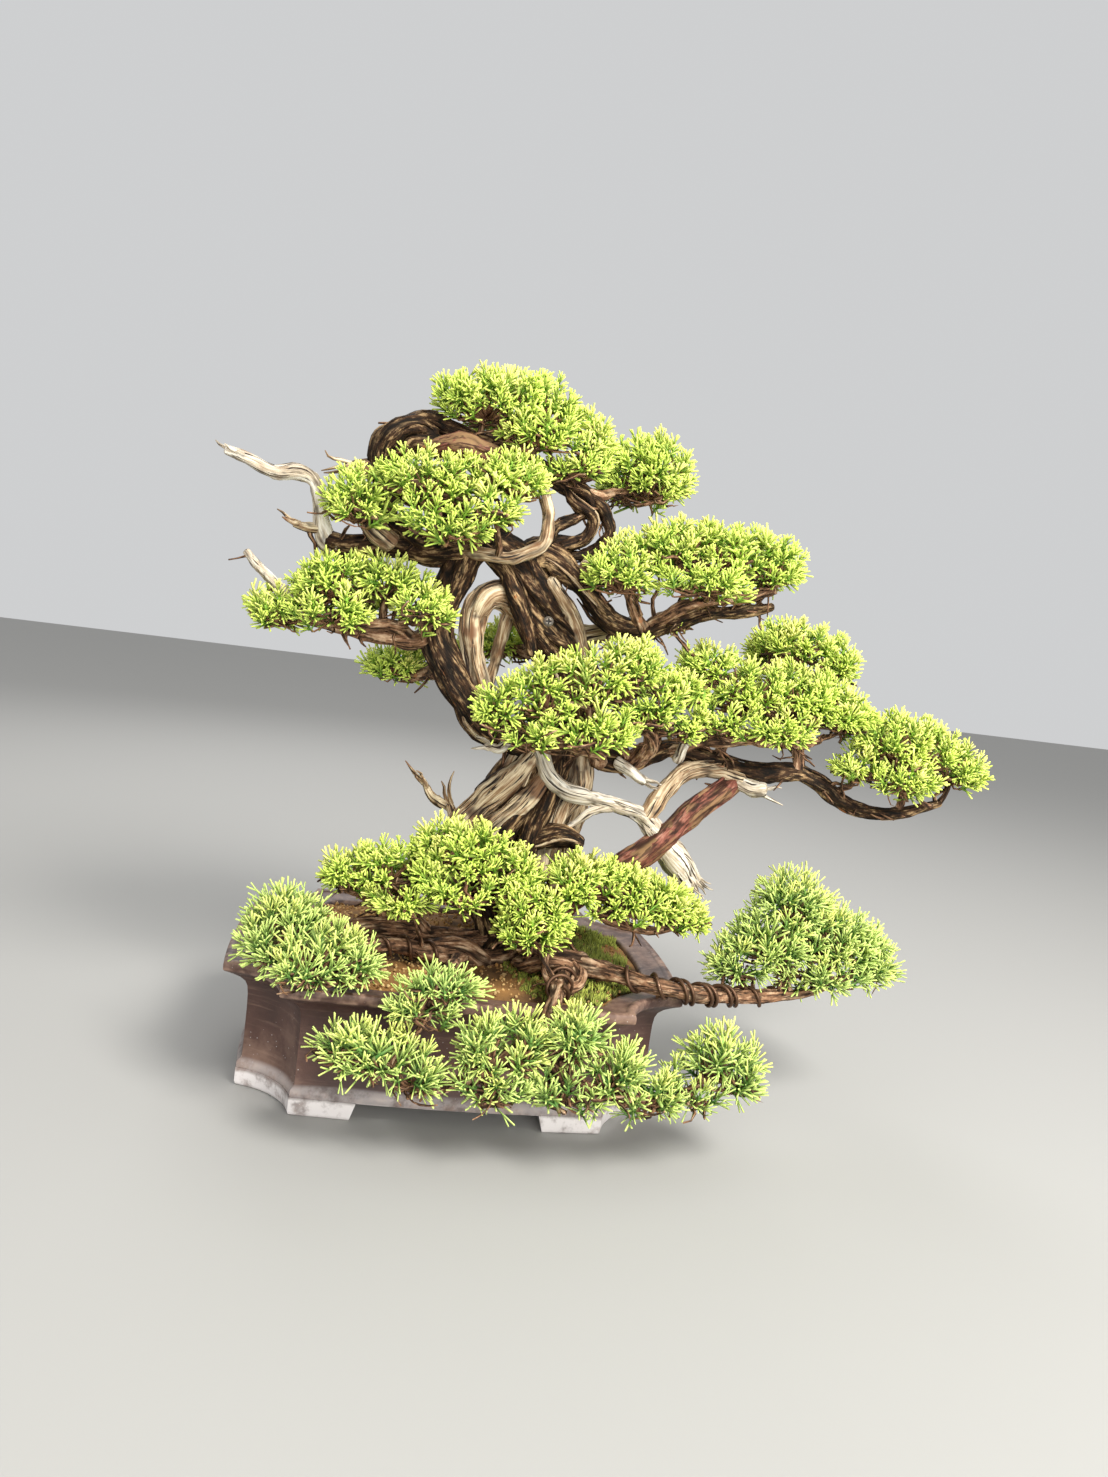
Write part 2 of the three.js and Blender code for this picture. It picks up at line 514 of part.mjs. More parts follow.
// Foliage pads: each is a few rounded lobes, [x, y, z, half width, half depth, half height].
const PADS = {
  foliage_apex: [
    [-25, -5, 513, 45, 41, 27], [15, 5, 510, 35, 38, 31], [55, 10, 490, 25, 33, 31], [5, 45, 508, 41, 36, 28],
  ],
  foliage_shoulder: [[110, 20, 480, 36, 38, 36], [98, 60, 478, 30, 35, 30]],
  foliage_front_crown: [
    [-110, -32, 425, 28, 30, 27], [-60, -47, 446, 40, 28, 25], [-5, -45, 455, 29, 28, 23],
    [-40, -62, 415, 29, 28, 23],
  ],
  foliage_left: [
    [-160, -20, 342, 26, 26, 20], [-120, -25, 365, 34, 34, 24], [-80, -30, 370, 30, 31, 22],
    [-55, -45, 355, 26, 27, 19], [-118, -45, 347, 30, 27, 16], [-112, 18, 360, 36, 33, 21],
  ],
  foliage_back_left: [[-70, 60, 308, 33, 29, 18], [-30, 85, 318, 33, 30, 20], [12, 66, 335, 24, 26, 21]],
  foliage_right: [
    [87, -30, 400, 30, 32, 27], [130, -15, 423, 36, 36, 26], [170, -15, 425, 34, 35, 26],
    [208, -15, 420, 28, 32, 27], [150, -45, 402, 36, 28, 18], [155, 35, 425, 36, 35, 24],
    [198, 30, 423, 30, 32, 24],
  ],
  foliage_right_tuft: [[141, -10, 367, 12, 12, 8]],
  foliage_back_right: [[260, 55, 366, 34, 34, 23], [292, 52, 352, 26, 31, 24], [256, 88, 355, 31, 31, 22]],
  foliage_mid_right: [
    [168, -5, 338, 25, 27, 22], [202, -10, 322, 38, 38, 28], [247, -10, 320, 38, 39, 29],
    [285, -10, 312, 28, 34, 26], [218, -40, 298, 34, 29, 18], [252, 34, 308, 36, 34, 22],
  ],
  foliage_far_right: [
    [322, -22, 296, 30, 33, 26], [350, -15, 293, 32, 35, 26], [382, -15, 280, 28, 31, 24],
    [330, -36, 270, 30, 26, 17], [356, 24, 284, 34, 32, 22],
  ],
  foliage_centre: [
    [10, -62, 290, 27, 25, 24], [40, -66, 305, 29, 24, 28], [75, -62, 320, 32, 24, 26],
    [105, -52, 332, 25, 24, 25], [120, -48, 302, 28, 26, 25], [70, -76, 286, 35, 24, 20],
    [35, -73, 276, 25, 20, 16],
  ],
  foliage_low_left: [
    [-90, -58, 160, 22, 24, 19], [-60, -55, 165, 24, 27, 22], [-48, -76, 147, 24, 22, 14],
    [-65, -24, 148, 26, 26, 18],
  ],
  foliage_low_mid: [
    [-22, -66, 184, 26, 25, 26], [5, -72, 185, 28, 26, 26], [-8, -88, 162, 30, 22, 18],
    [27, -76, 172, 25, 24, 23],
  ],
  foliage_low_right: [
    [50, -84, 152, 26, 28, 20], [78, -76, 173, 28, 31, 25], [110, -70, 165, 30, 32, 26],
    [145, -65, 160, 27, 29, 21], [168, -65, 151, 17, 18, 13], [45, -92, 138, 26, 22, 13],
    [128, -32, 155, 30, 29, 20],
  ],
  foliage_rim_left: [
    [-125, -78, 130, 27, 28, 20], [-130, -105, 116, 22, 27, 22], [-100, -112, 118, 27, 24, 22],
    [-75, -126, 114, 20, 19, 17], [-104, -140, 112, 24, 20, 15],
  ],
  foliage_low_branch: [
    [255, -40, 163, 28, 31, 26], [240, -50, 132, 36, 36, 26], [290, -40, 136, 35, 37, 28],
    [320, -40, 120, 25, 28, 22], [212, -58, 116, 24, 23, 15], [280, -50, 114, 36, 31, 17],
    [298, -2, 122, 35, 34, 23],
  ],
  foliage_cascade_left: [
    [-76, -166, 74, 17, 20, 16], [-52, -170, 69, 22, 22, 22], [-28, -173, 62, 20, 20, 20],
  ],
  foliage_cascade_tuft: [[-20, -154, 114, 28, 17, 13]],
  foliage_cascade_mid: [[15, -174, 80, 20, 22, 25], [38, -173, 84, 20, 21, 23], [20, -180, 58, 22, 18, 14]],
  foliage_cascade_right: [
    [72, -172, 93, 22, 21, 21], [67, -177, 60, 27, 19, 17], [98, -174, 70, 28, 21, 22],
    [128, -168, 56, 22, 19, 17],
  ],
  foliage_cascade_end: [[175, -152, 78, 25, 23, 22], [194, -151, 66, 16, 19, 16], [158, -161, 58, 20, 17, 14]],
  foliage_back_low: [[58, 92, 145, 34, 32, 20], [106, 92, 140, 32, 30, 18], [12, 84, 134, 30, 28, 18]],
};

// How far along a ray a lobe's surface lies, with the lobe shrunk to a share of its size.
function rayExit(start, direction, [x, y, z, halfX, halfY, halfZ], share, grow) {
  const half = new THREE.Vector3(halfX, halfY, halfZ).multiplyScalar(share).addScalar(grow);
  const from = start.clone().sub(new THREE.Vector3(x, y, z)).divide(half);
  const along = direction.clone().divide(half);
  const inner = from.dot(along);
  const inside = inner * inner - along.lengthSq() * (from.lengthSq() - 1);
  return inside > 0 ? (Math.sqrt(inside) - inner) / along.lengthSq() : 0;
}

// The middle of a pad and its half sizes, over all of its lobes.
function padSpan(lobes) {
  const span = new THREE.Box3();
  lobes.forEach(([x, y, z, halfX, halfY, halfZ]) => {
    span.expandByPoint(new THREE.Vector3(x - halfX, y - halfY, z - halfZ));
    span.expandByPoint(new THREE.Vector3(x + halfX, y + halfY, z + halfZ));
  });
  return { centre: span.getCenter(new THREE.Vector3()), half: span.getSize(new THREE.Vector3()).divideScalar(2) };
}

// The core of a pad, well inside its lobes: one lumpy body that follows them all.
function padCore(lobes, grow) {
  const { centre, half } = padSpan(lobes);
  const geometry = new THREE.IcosahedronGeometry(1, CORE_DETAIL);
  const place = geometry.attributes.position;
  for (let i = 0; i < place.count; i += 1) {
    const direction = new THREE.Vector3().fromBufferAttribute(place, i).multiply(half);
    const least = direction.length() * CORE_LEAST + grow;
    direction.normalize();
    const exits = lobes.map((lobe) => rayExit(centre, direction, lobe, CORE_SHARE, grow));
    direction.multiplyScalar(Math.max(least, ...exits)).add(centre);
    place.setXYZ(i, direction.x, direction.y, direction.z);
  }
  return solidOf(geometry);
}

// How far out a point lies from a lobe's centre: 1 on the lobe's surface.
function lobeDistance(point, [x, y, z, halfX, halfY, halfZ]) {
  return Math.hypot((point.x - x) / halfX, (point.y - y) / halfY, (point.z - z) / halfZ);
}

// A three-sided shoot, at its true thickness where it leaves the core.
function shootSolid(root, tip, shown, grow) {
  const axis = tip.clone().sub(root);
  const length = axis.length() + grow;
  const radius = (SHOOT_RADIUS * length) / shown + grow;
  const geometry = new THREE.ConeGeometry(radius, length, 3, 1);
  geometry.translate(0, length / 2, 0);
  const turn = new THREE.Quaternion().setFromUnitVectors(new THREE.Vector3(0, 1, 0), axis.normalize());
  geometry.applyQuaternion(turn);
  geometry.translate(root.x, root.y, root.z);
  return solidOf(geometry);
}

// A pad of foliage: a core with shoots standing out of it on all sides, spread evenly over
// each lobe by a spiral, out to the lobe's surface.
function foliagePad(lobes, seed, grow = 0) {
  const random = randomFrom(seed);
  const { centre: middle } = padSpan(lobes);
  const shoots = [];
  lobes.forEach((lobe, own) => {
    const centre = new THREE.Vector3(...lobe.slice(0, 3));
    const half = new THREE.Vector3(...lobe.slice(3));
    const mean = (half.x + half.y + half.z) / 3;
    const root = centre.clone().lerp(middle, SHOOT_ROOT_SHARE);
    const count = Math.round((4 * Math.PI * mean * mean) / AREA_PER_SHOOT);
    for (let i = 0; i < count; i += 1) {
      const up = 1 - (2 * (i + 0.5)) / count;
      const turn = i * Math.PI * (3 - Math.sqrt(5)) + random() * SPIRAL_JITTER;
      const reach = THREE.MathUtils.lerp(...SHOOT_REACH, random());
      const flat = Math.sqrt(1 - up * up);
      const out = new THREE.Vector3(flat * Math.cos(turn), flat * Math.sin(turn), up).multiply(half);
      const tip = out.clone().multiplyScalar(reach).add(centre);
      const hidden = lobes.some((other, j) => j !== own && lobeDistance(tip, other) < HIDDEN_WITHIN);
      if (up > LOWEST_SHOOT && !hidden) {
        shoots.push(shootSolid(root, tip, (reach - CORE_SHARE) * out.length(), grow));
      }
    }
  });
  return joined([padCore(lobes, grow), ...shoots]);
}

const BARK = { color: 0x6b4a35, roughness: 0.85, metalness: 0 };
const CLAY = { color: 0x5a3f3a, roughness: 0.7, metalness: 0 };
const SOIL = { color: 0x8a6a3a, roughness: 1, metalness: 0 };
const SCREEN = { color: 0x202322, roughness: 0.6, metalness: 0 };
const WIRE = { color: 0x6e4a36, roughness: 0.45, metalness: 0.8 };
const STEEL = { color: 0x7c7468, roughness: 0.4, metalness: 0.9 };
const FOLIAGE = { color: 0x7fae3a, roughness: 0.6, metalness: 0 };
const OLD_FOLIAGE = { color: 0x6a9f62, roughness: 0.6, metalness: 0 };
const OLD_PADS = /low_branch|rim_left|cascade/;

const bonsai = new THREE.Group();

function addNode(name, geometry, finish) {
  const mesh = new THREE.Mesh(geometry, new THREE.MeshStandardMaterial(finish));
  mesh.name = name;
  bonsai.add(mesh);
}

// Pot, drain screens, screw and wires.
addNode('pot', geometryOf(makePot()), CLAY);
addNode('drain_screen_left', makeScreen(-DRAIN_OFFSET), SCREEN);
addNode('drain_screen_right', makeScreen(DRAIN_OFFSET), SCREEN);
addNode('trunk_screw', geometryOf(makeScrew()), STEEL);
Object.entries(WIRES).forEach(([name, wire]) => {
  addNode(name, geometryOf(woundWire(wire)), WIRE);
});

// The wood is one grown piece. The wires press slightly into its bark.
const grownWires = joined(Object.values(WIRES).map((wire) => woundWire(wire, GAP)));
const wood = joined(woodLimbs(0)).subtract(screwSeat()).subtract(grownWires);
addNode('trunk_and_branches', geometryOf(largestPiece(wood)), BARK);

// Soil fills the pot round the foot of the trunk and the low branches.
const grownWood = joined(woodLimbs(GAP));
const screenBeds = [-DRAIN_OFFSET, DRAIN_OFFSET].map((x) => {
  const half = SCREEN_SIDE / 2 + GAP;
  const bed = [[x - half, -half], [x + half, -half], [x + half, half], [x - half, half]];
  return prism(bed, FLOOR_TOP - 1, FLOOR_TOP + SCREEN_THICKNESS + 2 * GAP);
});
const soilBulk = stackedOutlines([
  [CAVITY_INSET + 0.4, FLOOR_TOP + GAP], [24.4, SOIL_EDGE_HEIGHT - 1], [32, SOIL_EDGE_HEIGHT + 1],
  [80, SOIL_CROWN_HEIGHT],
]);
const soil = [...screenBeds, grownWood, grownWires].reduce((sum, next) => sum.subtract(next), soilBulk);
addNode('soil', geometryOf(largestPiece(soil)), SOIL);

// Foliage pads, each seated on its twigs and clear of the pads before it.
const rimClear = prism(potOutline(-GAP), FOOT_HEIGHT, POT_HEIGHT + GAP);
const earlier = [];
Object.entries(PADS).forEach(([name, lobes], number) => {
  const seed = 100 + number;
  const cutters = [grownWood, grownWires, rimClear, ...earlier];
  const pad = cutters.reduce((sum, next) => sum.subtract(next), foliagePad(lobes, seed));
  addNode(name, geometryOf(largestPiece(pad)), OLD_PADS.test(name) ? OLD_FOLIAGE : FOLIAGE);
  earlier.push(foliagePad(lobes, seed, GAP));
});

// The origin is under the middle of the whole object's footprint.
const box = new THREE.Box3().setFromObject(bonsai);
const middle = box.getCenter(new THREE.Vector3());
bonsai.position.set(-middle.x, -middle.y, -box.min.z);
bonsai.updateMatrixWorld(true);

export default bonsai;
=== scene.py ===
"""Itoigawa juniper bonsai in a rectangular clay pot: the dressed model, floor, light and camera.

The listed sizes and places are millimetres about the pot's own centre, with z = 0 under its
feet. Layout.place turns them into the frame's metres.
"""

import json
import logging
import math
from dataclasses import dataclass
from enum import Enum
from typing import Sequence

import bpy
import numpy as np
from mathutils import Matrix, Vector
from mathutils.geometry import tessellate_polygon

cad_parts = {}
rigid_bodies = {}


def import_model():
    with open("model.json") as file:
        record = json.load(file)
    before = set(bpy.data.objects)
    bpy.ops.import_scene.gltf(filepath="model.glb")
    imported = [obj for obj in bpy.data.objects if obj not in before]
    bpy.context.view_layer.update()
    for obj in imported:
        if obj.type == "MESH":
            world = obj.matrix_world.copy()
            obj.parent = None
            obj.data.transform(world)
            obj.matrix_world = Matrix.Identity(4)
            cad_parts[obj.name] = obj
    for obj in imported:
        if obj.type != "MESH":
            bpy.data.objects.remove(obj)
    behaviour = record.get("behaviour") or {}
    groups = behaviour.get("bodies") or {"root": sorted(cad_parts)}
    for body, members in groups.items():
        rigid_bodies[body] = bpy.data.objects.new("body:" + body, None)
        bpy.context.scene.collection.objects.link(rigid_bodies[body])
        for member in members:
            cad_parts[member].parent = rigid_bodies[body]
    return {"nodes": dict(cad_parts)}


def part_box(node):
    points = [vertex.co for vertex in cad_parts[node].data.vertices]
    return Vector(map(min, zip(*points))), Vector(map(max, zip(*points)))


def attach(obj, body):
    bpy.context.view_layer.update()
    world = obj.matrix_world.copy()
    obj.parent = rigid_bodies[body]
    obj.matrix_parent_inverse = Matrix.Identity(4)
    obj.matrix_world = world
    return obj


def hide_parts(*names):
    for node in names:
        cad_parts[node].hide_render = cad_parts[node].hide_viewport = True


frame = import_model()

logging.basicConfig(level=logging.INFO, format="%(message)s")
LOG = logging.getLogger("bonsai")
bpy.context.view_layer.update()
MM = 0.001
ROOT = "root"
GOLDEN_ANGLE = math.pi * (3 - math.sqrt(5))
FULL_TURN = 2 * math.pi
UP = np.array([0.0, 0.0, 1.0])
Random = np.random.Generator
Material = bpy.types.Material
Socket = bpy.types.NodeSocket


def unit(vectors: np.ndarray) -> np.ndarray:
    """A vector, or the vector in each row, scaled to length 1."""
    length = np.linalg.norm(vectors) if vectors.ndim == 1 else np.linalg.norm(vectors, axis=1)[:, None]
    return vectors / length


def linked(name: str, data: bpy.types.ID) -> bpy.types.Object:
    """Makes an object and links it to the scene.

    Args:
        name: its name.
        data: its mesh, light or camera.

    Returns:
        The object.
    """
    made = bpy.data.objects.new(name, data)
    bpy.context.scene.collection.objects.link(made)
    return made


@dataclass(frozen=True)
class Layout:
    """Turns millimetres about the pot's centre into the frame's metres."""

    shift: np.ndarray

    @classmethod
    def from_pot(cls) -> "Layout":
        """Reads the pot's centre from the frame."""
        low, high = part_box("pot")
        return cls(np.array([(low.x + high.x) / 2, (low.y + high.y) / 2, 0.0]))

    def place(self, points: Sequence) -> np.ndarray:
        """Places points, in millimetres, in the frame."""
        return np.asarray(points, float) * MM + self.shift


LAYOUT = Layout.from_pot()


def value_noise(points: np.ndarray, seed: int) -> np.ndarray:
    """Smooth noise between -1 and 1.

    Args:
        points: places, one row each, with one noise cell per unit.
        seed: picks the pattern.

    Returns:
        One value for each row.
    """
    cell = np.floor(points).astype(np.int64)
    part = points - cell
    part = part * part * (3 - 2 * part)
    total = np.zeros(len(points))
    for corner in range(8):
        step = np.array([corner & 1, corner >> 1 & 1, corner >> 2 & 1])
        at = cell + step
        key = (at[:, 0] * 374761393 + at[:, 1] * 668265263 + at[:, 2] * 362437 + seed * 97561) & 0xFFFFFFFF
        key = ((key ^ (key >> 13)) * 1274126177) & 0xFFFFFFFF
        key = ((key ^ (key >> 16)) * 60493) & 0xFFFFFFFF
        value = ((key >> 8) & 0xFFFF) / 32767.5 - 1
        total += np.prod(np.where(step == 1, part, 1 - part), axis=1) * value
    return total


class Shell:
    """Points, faces and point attributes of one piece, gathered part by part, in metres."""

    def __init__(self) -> None:
        """Starts empty."""
        self.points: list[np.ndarray] = []
        self.faces: list[np.ndarray] = []
        self.slots: list[np.ndarray] = []
        self.values: dict[str, list[tuple[int, np.ndarray]]] = {}
        self.count = 0

    def add(self, points: np.ndarray, faces: Sequence[np.ndarray], slot: int = 0,
            **values: np.ndarray) -> None:
        """Adds a part.

        Args:
            points: its points, in metres.
            faces: arrays of triangles or quads, as indices into its points.
            slot: its material's place in the list that build gets.
            values: point attributes, a number or a vector for each point.
        """
        for group in faces:
            self.faces.append(np.asarray(group, np.int64) + self.count)
            self.slots.append(np.full(len(group), slot))
        for name, value in values.items():
            self.values.setdefault(name, []).append((self.count, np.asarray(value, float)))
        self.points.append(np.asarray(points, float))
        self.count += len(points)

    def build(self, name: str, materials: Sequence[Material],
              smooth: bool = True) -> bpy.types.Object:
        """Makes the object.

        Args:
            name: the object's name.
            materials: one for each slot.
            smooth: whether its faces are shaded smooth.

        Returns:
            The object, at the origin, linked to the scene.
        """
        mesh = bpy.data.meshes.new(name)
        mesh.vertices.add(self.count)
        mesh.vertices.foreach_set("co", np.concatenate(self.points).astype(np.float32).ravel())
        if self.faces:
            loops = np.concatenate([group.ravel() for group in self.faces])
            sizes = np.concatenate([np.full(len(group), group.shape[1]) for group in self.faces])
            mesh.loops.add(len(loops))
            mesh.loops.foreach_set("vertex_index", loops.astype(np.int32))
            mesh.polygons.add(len(sizes))
            mesh.polygons.foreach_set("loop_start", (np.cumsum(sizes) - sizes).astype(np.int32))
            mesh.polygons.foreach_set("material_index", np.concatenate(self.slots).astype(np.int32))
            mesh.update(calc_edges=True)
            mesh.polygons.foreach_set("use_smooth", np.full(len(sizes), smooth))
        for key, chunks in self.values.items():
            wide = chunks[0][1].ndim == 2
            full = np.zeros((self.count, 3) if wide else self.count, np.float32)
            for start, value in chunks:
                full[start:start + len(value)] = value
            kind, words = ("FLOAT_VECTOR", "vector") if wide else ("FLOAT", "value")
            mesh.attributes.new(key, kind, "POINT").data.foreach_set(words, full.ravel())
        for material in materials:
            mesh.materials.append(material)
        return linked(name, mesh)


def hand_in(piece: bpy.types.Object, slot: str, *nodes: str) -> None:
    """Makes a piece ride on the body, hides the CAD nodes that it stands for, and reports its triangles.

    Args:
        piece: the finished piece.
        slot: the record's material slot; not used.
        nodes: the CAD nodes that it replaces.
    """
    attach(piece, ROOT)
    if nodes:
        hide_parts(*nodes)
    triangles = sum(len(face.vertices) - 2 for face in piece.data.polygons)
    LOG.info("%s: %d triangles", piece.name, triangles)


@dataclass(frozen=True)
class Value:
    """A shader socket that adds Math nodes where it is used in an expression."""

    shader: "Shader"
    socket: Socket

    def math(self, operation: str, other: "Value | float | None" = None, swapped: bool = False) -> "Value":
        """Adds a Math node.

        Args:
            operation: the Math node's operation.
            other: the second value, if the operation takes one.
            swapped: whether the other value comes first.

        Returns:
            The result as a value.
        """
        terms = [self] if other is None else [self, other]
        inputs = dict(enumerate(reversed(terms) if swapped else terms))
        return self.shader.value("ShaderNodeMath", 0, {"operation": operation}, inputs)

    def __add__(self, other: "Value | float") -> "Value":
        """Sum."""
        return self.math("ADD", other)

    __radd__ = __add__

    def __sub__(self, other: "Value | float") -> "Value":
        """Difference."""
        return self.math("SUBTRACT", other)

    def __rsub__(self, other: float) -> "Value":
        """Difference, the other way round."""
        return self.math("SUBTRACT", other, True)

    def __mul__(self, other: "Value | float") -> "Value":
        """Product."""
        return self.math("MULTIPLY", other)

    __rmul__ = __mul__

    def band(self, low: float, high: float) -> "Value":
        """A smooth step from 0 at low to 1 at high."""
        settings = {"interpolation_type": "SMOOTHSTEP"}
        return self.shader.value("ShaderNodeMapRange", 0, settings, {"Value": self, 1: low, 2: high})


Colour = tuple[float, float, float]


def srgb(red: int, green: int, blue: int) -> Colour:
    """A colour from the 0 to 255 numbers of a picture, as the linear numbers that shaders use."""
    parts = [part / 255 for part in (red, green, blue)]
    return tuple(p / 12.92 if p <= 0.04045 else ((p + 0.055) / 1.055) ** 2.4 for p in parts)


class NodeTree:
    """A node tree whose nodes are all added through one method."""

    def __init__(self, tree: bpy.types.NodeTree) -> None:
        """Wraps Blender's own tree."""
        self.tree = tree

    def node(self, kind: str, settings: dict | None = None, inputs: dict | None = None) -> bpy.types.Node:
        """Adds a node.

        Args:
            kind: its type.
            settings: its properties, set first; a ramp's stops are (place, colour) pairs.
            inputs: plain values or what they are linked to, by the socket's name or number.

        Returns:
            The node.
        """
        node = self.tree.nodes.new(kind)
        for key, value in (settings or {}).items():
            if key == "stops":
                self._set_stops(node.color_ramp, value)
            else:
                setattr(node, key, value)
        for key, value in (inputs or {}).items():
            source = value.socket if isinstance(value, Value) else value
            if isinstance(source, Socket):
                self.tree.links.new(source, node.inputs[key])
            elif isinstance(value, tuple) and node.inputs[key].type == "RGBA":
                node.inputs[key].default_value = (*value, 1.0)
            else:
                node.inputs[key].default_value = value
        return node

    @staticmethod
    def _set_stops(ramp: bpy.types.ColorRamp, stops: Sequence[tuple[float, Colour]]) -> None:
        """Gives a ramp its stops.

        Args:
            ramp: the ramp, which starts with two.
            stops: places and colours, at least two.
        """
        while len(ramp.elements) < len(stops):
            ramp.elements.new(0.5)
        for element, (place, colour) in zip(ramp.elements, stops):
            element.position = place
            element.color = (*colour, 1.0)


class Shader(NodeTree):
    """A material, started with only its output, and the kinds of node that the finishes use."""

    def __init__(self, name: str) -> None:
        """Starts the material.

        Args:
            name: its name.
        """
        self.material = bpy.data.materials.new(name)
        self.material.use_nodes = True
        super().__init__(self.material.node_tree)
        self.tree.nodes.clear()
        self.out = self.node("ShaderNodeOutputMaterial")

    def value(self, kind: str, output: str | int = 0, settings: dict | None = None,
              inputs: dict | None = None) -> Value:
        """Adds a node and takes one of its outputs."""
        return Value(self, self.node(kind, settings, inputs).outputs[output])

    def place(self, scale: Sequence[float] = (1, 1, 1), attribute: str | None = None) -> Value:
        """Coordinates, stretched, from the object or from a point attribute."""
        source = (self.value("ShaderNodeAttribute", "Vector", {"attribute_name": attribute}) if attribute
                  else self.value("ShaderNodeTexCoord", "Object"))
        return self.value("ShaderNodeMapping", 0, {}, {"Vector": source, "Scale": tuple(scale)})

    def attribute(self, name: str) -> Value:
        """A point attribute's number."""
        return self.value("ShaderNodeAttribute", "Fac", {"attribute_name": name})

    def axis(self, name: str) -> Value:
        """One coordinate in the object's space, in metres, by the axis's name."""
        return self.value("ShaderNodeSeparateXYZ", name, {}, {0: self.value("ShaderNodeTexCoord", "Object")})

    def noise(self, place: Value, scale: float, detail: float = 3.0, roughness: float = 0.55) -> Value:
        """Noise between 0 and 1, with the scale in cells a metre."""
        inputs = {"Vector": place, "Scale": scale, "Detail": detail, "Roughness": roughness}
        return self.value("ShaderNodeTexNoise", 0, {}, inputs)

    def cells(self, place: Value, scale: float) -> Value:
        """Distance to the middle of the nearest Voronoi cell."""
        return self.value("ShaderNodeTexVoronoi", "Distance", {}, {"Vector": place, "Scale": scale})

    def ramp(self, value: Value, *stops: tuple[float, Colour]) -> Value:
        """A colour that follows a value."""
        return self.value("ShaderNodeValToRGB", "Color", {"stops": stops}, {"Fac": value})

    def mix(self, factor: "Value | float", first: "Value | Colour", second: "Value | Colour") -> Value:
        """Two colours mixed by a factor."""
        settings = {"data_type": "RGBA", "clamp_factor": True}
        return self.value("ShaderNodeMix", 2, settings, {0: factor, 6: first, 7: second})

    def bump(self, height: Value, distance: float, strength: float = 1.0,
             under: Value | None = None) -> Value:
        """A bump of a depth in metres, over another bump if one is given."""
        inputs = {"Height": height, "Distance": distance, "Strength": strength}
        return self.value("ShaderNodeBump", 0, {}, inputs if under is None else {**inputs, "Normal": under})

    def finish(self, **sockets: "Value | Colour | float") -> Material:
        """Adds the Principled shader and ends the material.

        Args:
            sockets: its inputs, with underscores in their names for spaces.

        Returns:
            The material.
        """
        inputs = {name.replace("_", " "): value for name, value in sockets.items()}
        surface = self.node("ShaderNodeBsdfPrincipled", {}, inputs)
        self.tree.links.new(surface.outputs[0], self.out.inputs["Surface"])
        return self.material


@dataclass(frozen=True)
class BarkFinish:
    """Living bark: fibrous strips that follow the limb, dark in the seams, worn pale on the ridges and with
    painted shade in its grooves.
    """

    name: str
    seam: Colour
    body: Colour
    ridge: Colour
    flake: Colour
    flake_share: float = 0.45
    depth: float = 0.002

    def material(self) -> Material:
        """Makes the material.

        Returns:
            The material.
        """
        shader = Shader(self.name)
        along = shader.place((1, 1, 0.14), "grain")
        fibre = shader.noise(along, 620, 4.0, 0.62)
        strip = shader.noise(along, 190, 3.0)
        scaly = shader.noise(shader.place((1, 1, 0.4), "grain"), 230, 4.0, 0.7)
        patch = shader.noise(shader.place(), 55, 3.0)
        fissure = 1 - shader.noise(shader.place((1, 1, 0.16), "grain"), 360, 3.0, 0.6).band(0.41, 0.47)
        dark_face = shader.noise(shader.place((1, 1, 0.5), "grain"), 60, 2.0).band(0.46, 0.62)
        relief = strip * 0.3 + fibre * 0.28 + scaly * 0.42 - dark_face * 0.035
        base = shader.ramp(relief, (0.4, self.seam), (0.5, self.body), (0.62, self.ridge))
        flaked = shader.mix(patch.band(1 - self.flake_share, 1.04 - self.flake_share) * strip.band(0.4, 0.6),
                            base, self.flake)
        # Painted shade: the limb's deepest grooves are darkened towards the seam colour.
        hollow = shader.attribute("hollow").band(0.0, 1.0)
        colour = shader.mix(hollow * 0.88, shader.mix(fissure * 0.75, flaked, self.seam), self.seam)
        grit = shader.noise(shader.place(), 1500, 2.0)
        normal = shader.bump(relief + grit * 0.12 - fissure * 0.12, self.depth)
        return shader.finish(Base_Color=colour, Roughness=0.9 - 0.25 * fibre, Normal=normal,
                             Specular_IOR_Level=0.22)


@dataclass(frozen=True)
class BareWoodFinish:
    """Bleached bare wood: long fine fibres, cracks, grey or tan streaks and painted shade in its grooves."""

    name: str
    light: Colour
    middle: Colour
    dark: Colour
    stain: Colour
    stain_share: float = 0.35
    depth: float = 0.0007

    def material(self) -> Material:
        """Makes the material.

        Returns:
            The material.
        """
        shader = Shader(self.name)
        along = shader.place((1, 1, 0.07), "grain")
        fibre = shader.noise(along, 900, 4.0, 0.65)
        streak = shader.noise(along, 260, 3.0, 0.6)
        patch = shader.noise(shader.place(), 42, 2.0)
        stops = ((0.33, self.dark), (0.45, self.middle), (0.6, self.light))
        base = shader.ramp(streak * 0.55 + fibre * 0.45, *stops)
        spread = patch.band(1 - self.stain_share, 1.12 - self.stain_share)
        stained = shader.mix(spread * 0.85, base, self.stain)
        crack = shader.noise(shader.place((1, 1, 0.05), "grain"), 420, 2.0).band(0.36, 0.41)
        # Painted shade: the limb's deepest grooves are darkened towards the dark colour.
        hollow = shader.attribute("hollow").band(0.0, 1.0)
        colour = shader.mix(hollow * 0.7, shader.mix(crack, self.dark, stained), self.dark)
        normal = shader.bump(streak * 0.5 + fibre * 0.5 + crack * 0.5, self.depth)
        return shader.finish(Base_Color=colour, Roughness=0.75 + 0.15 * fibre, Normal=normal)


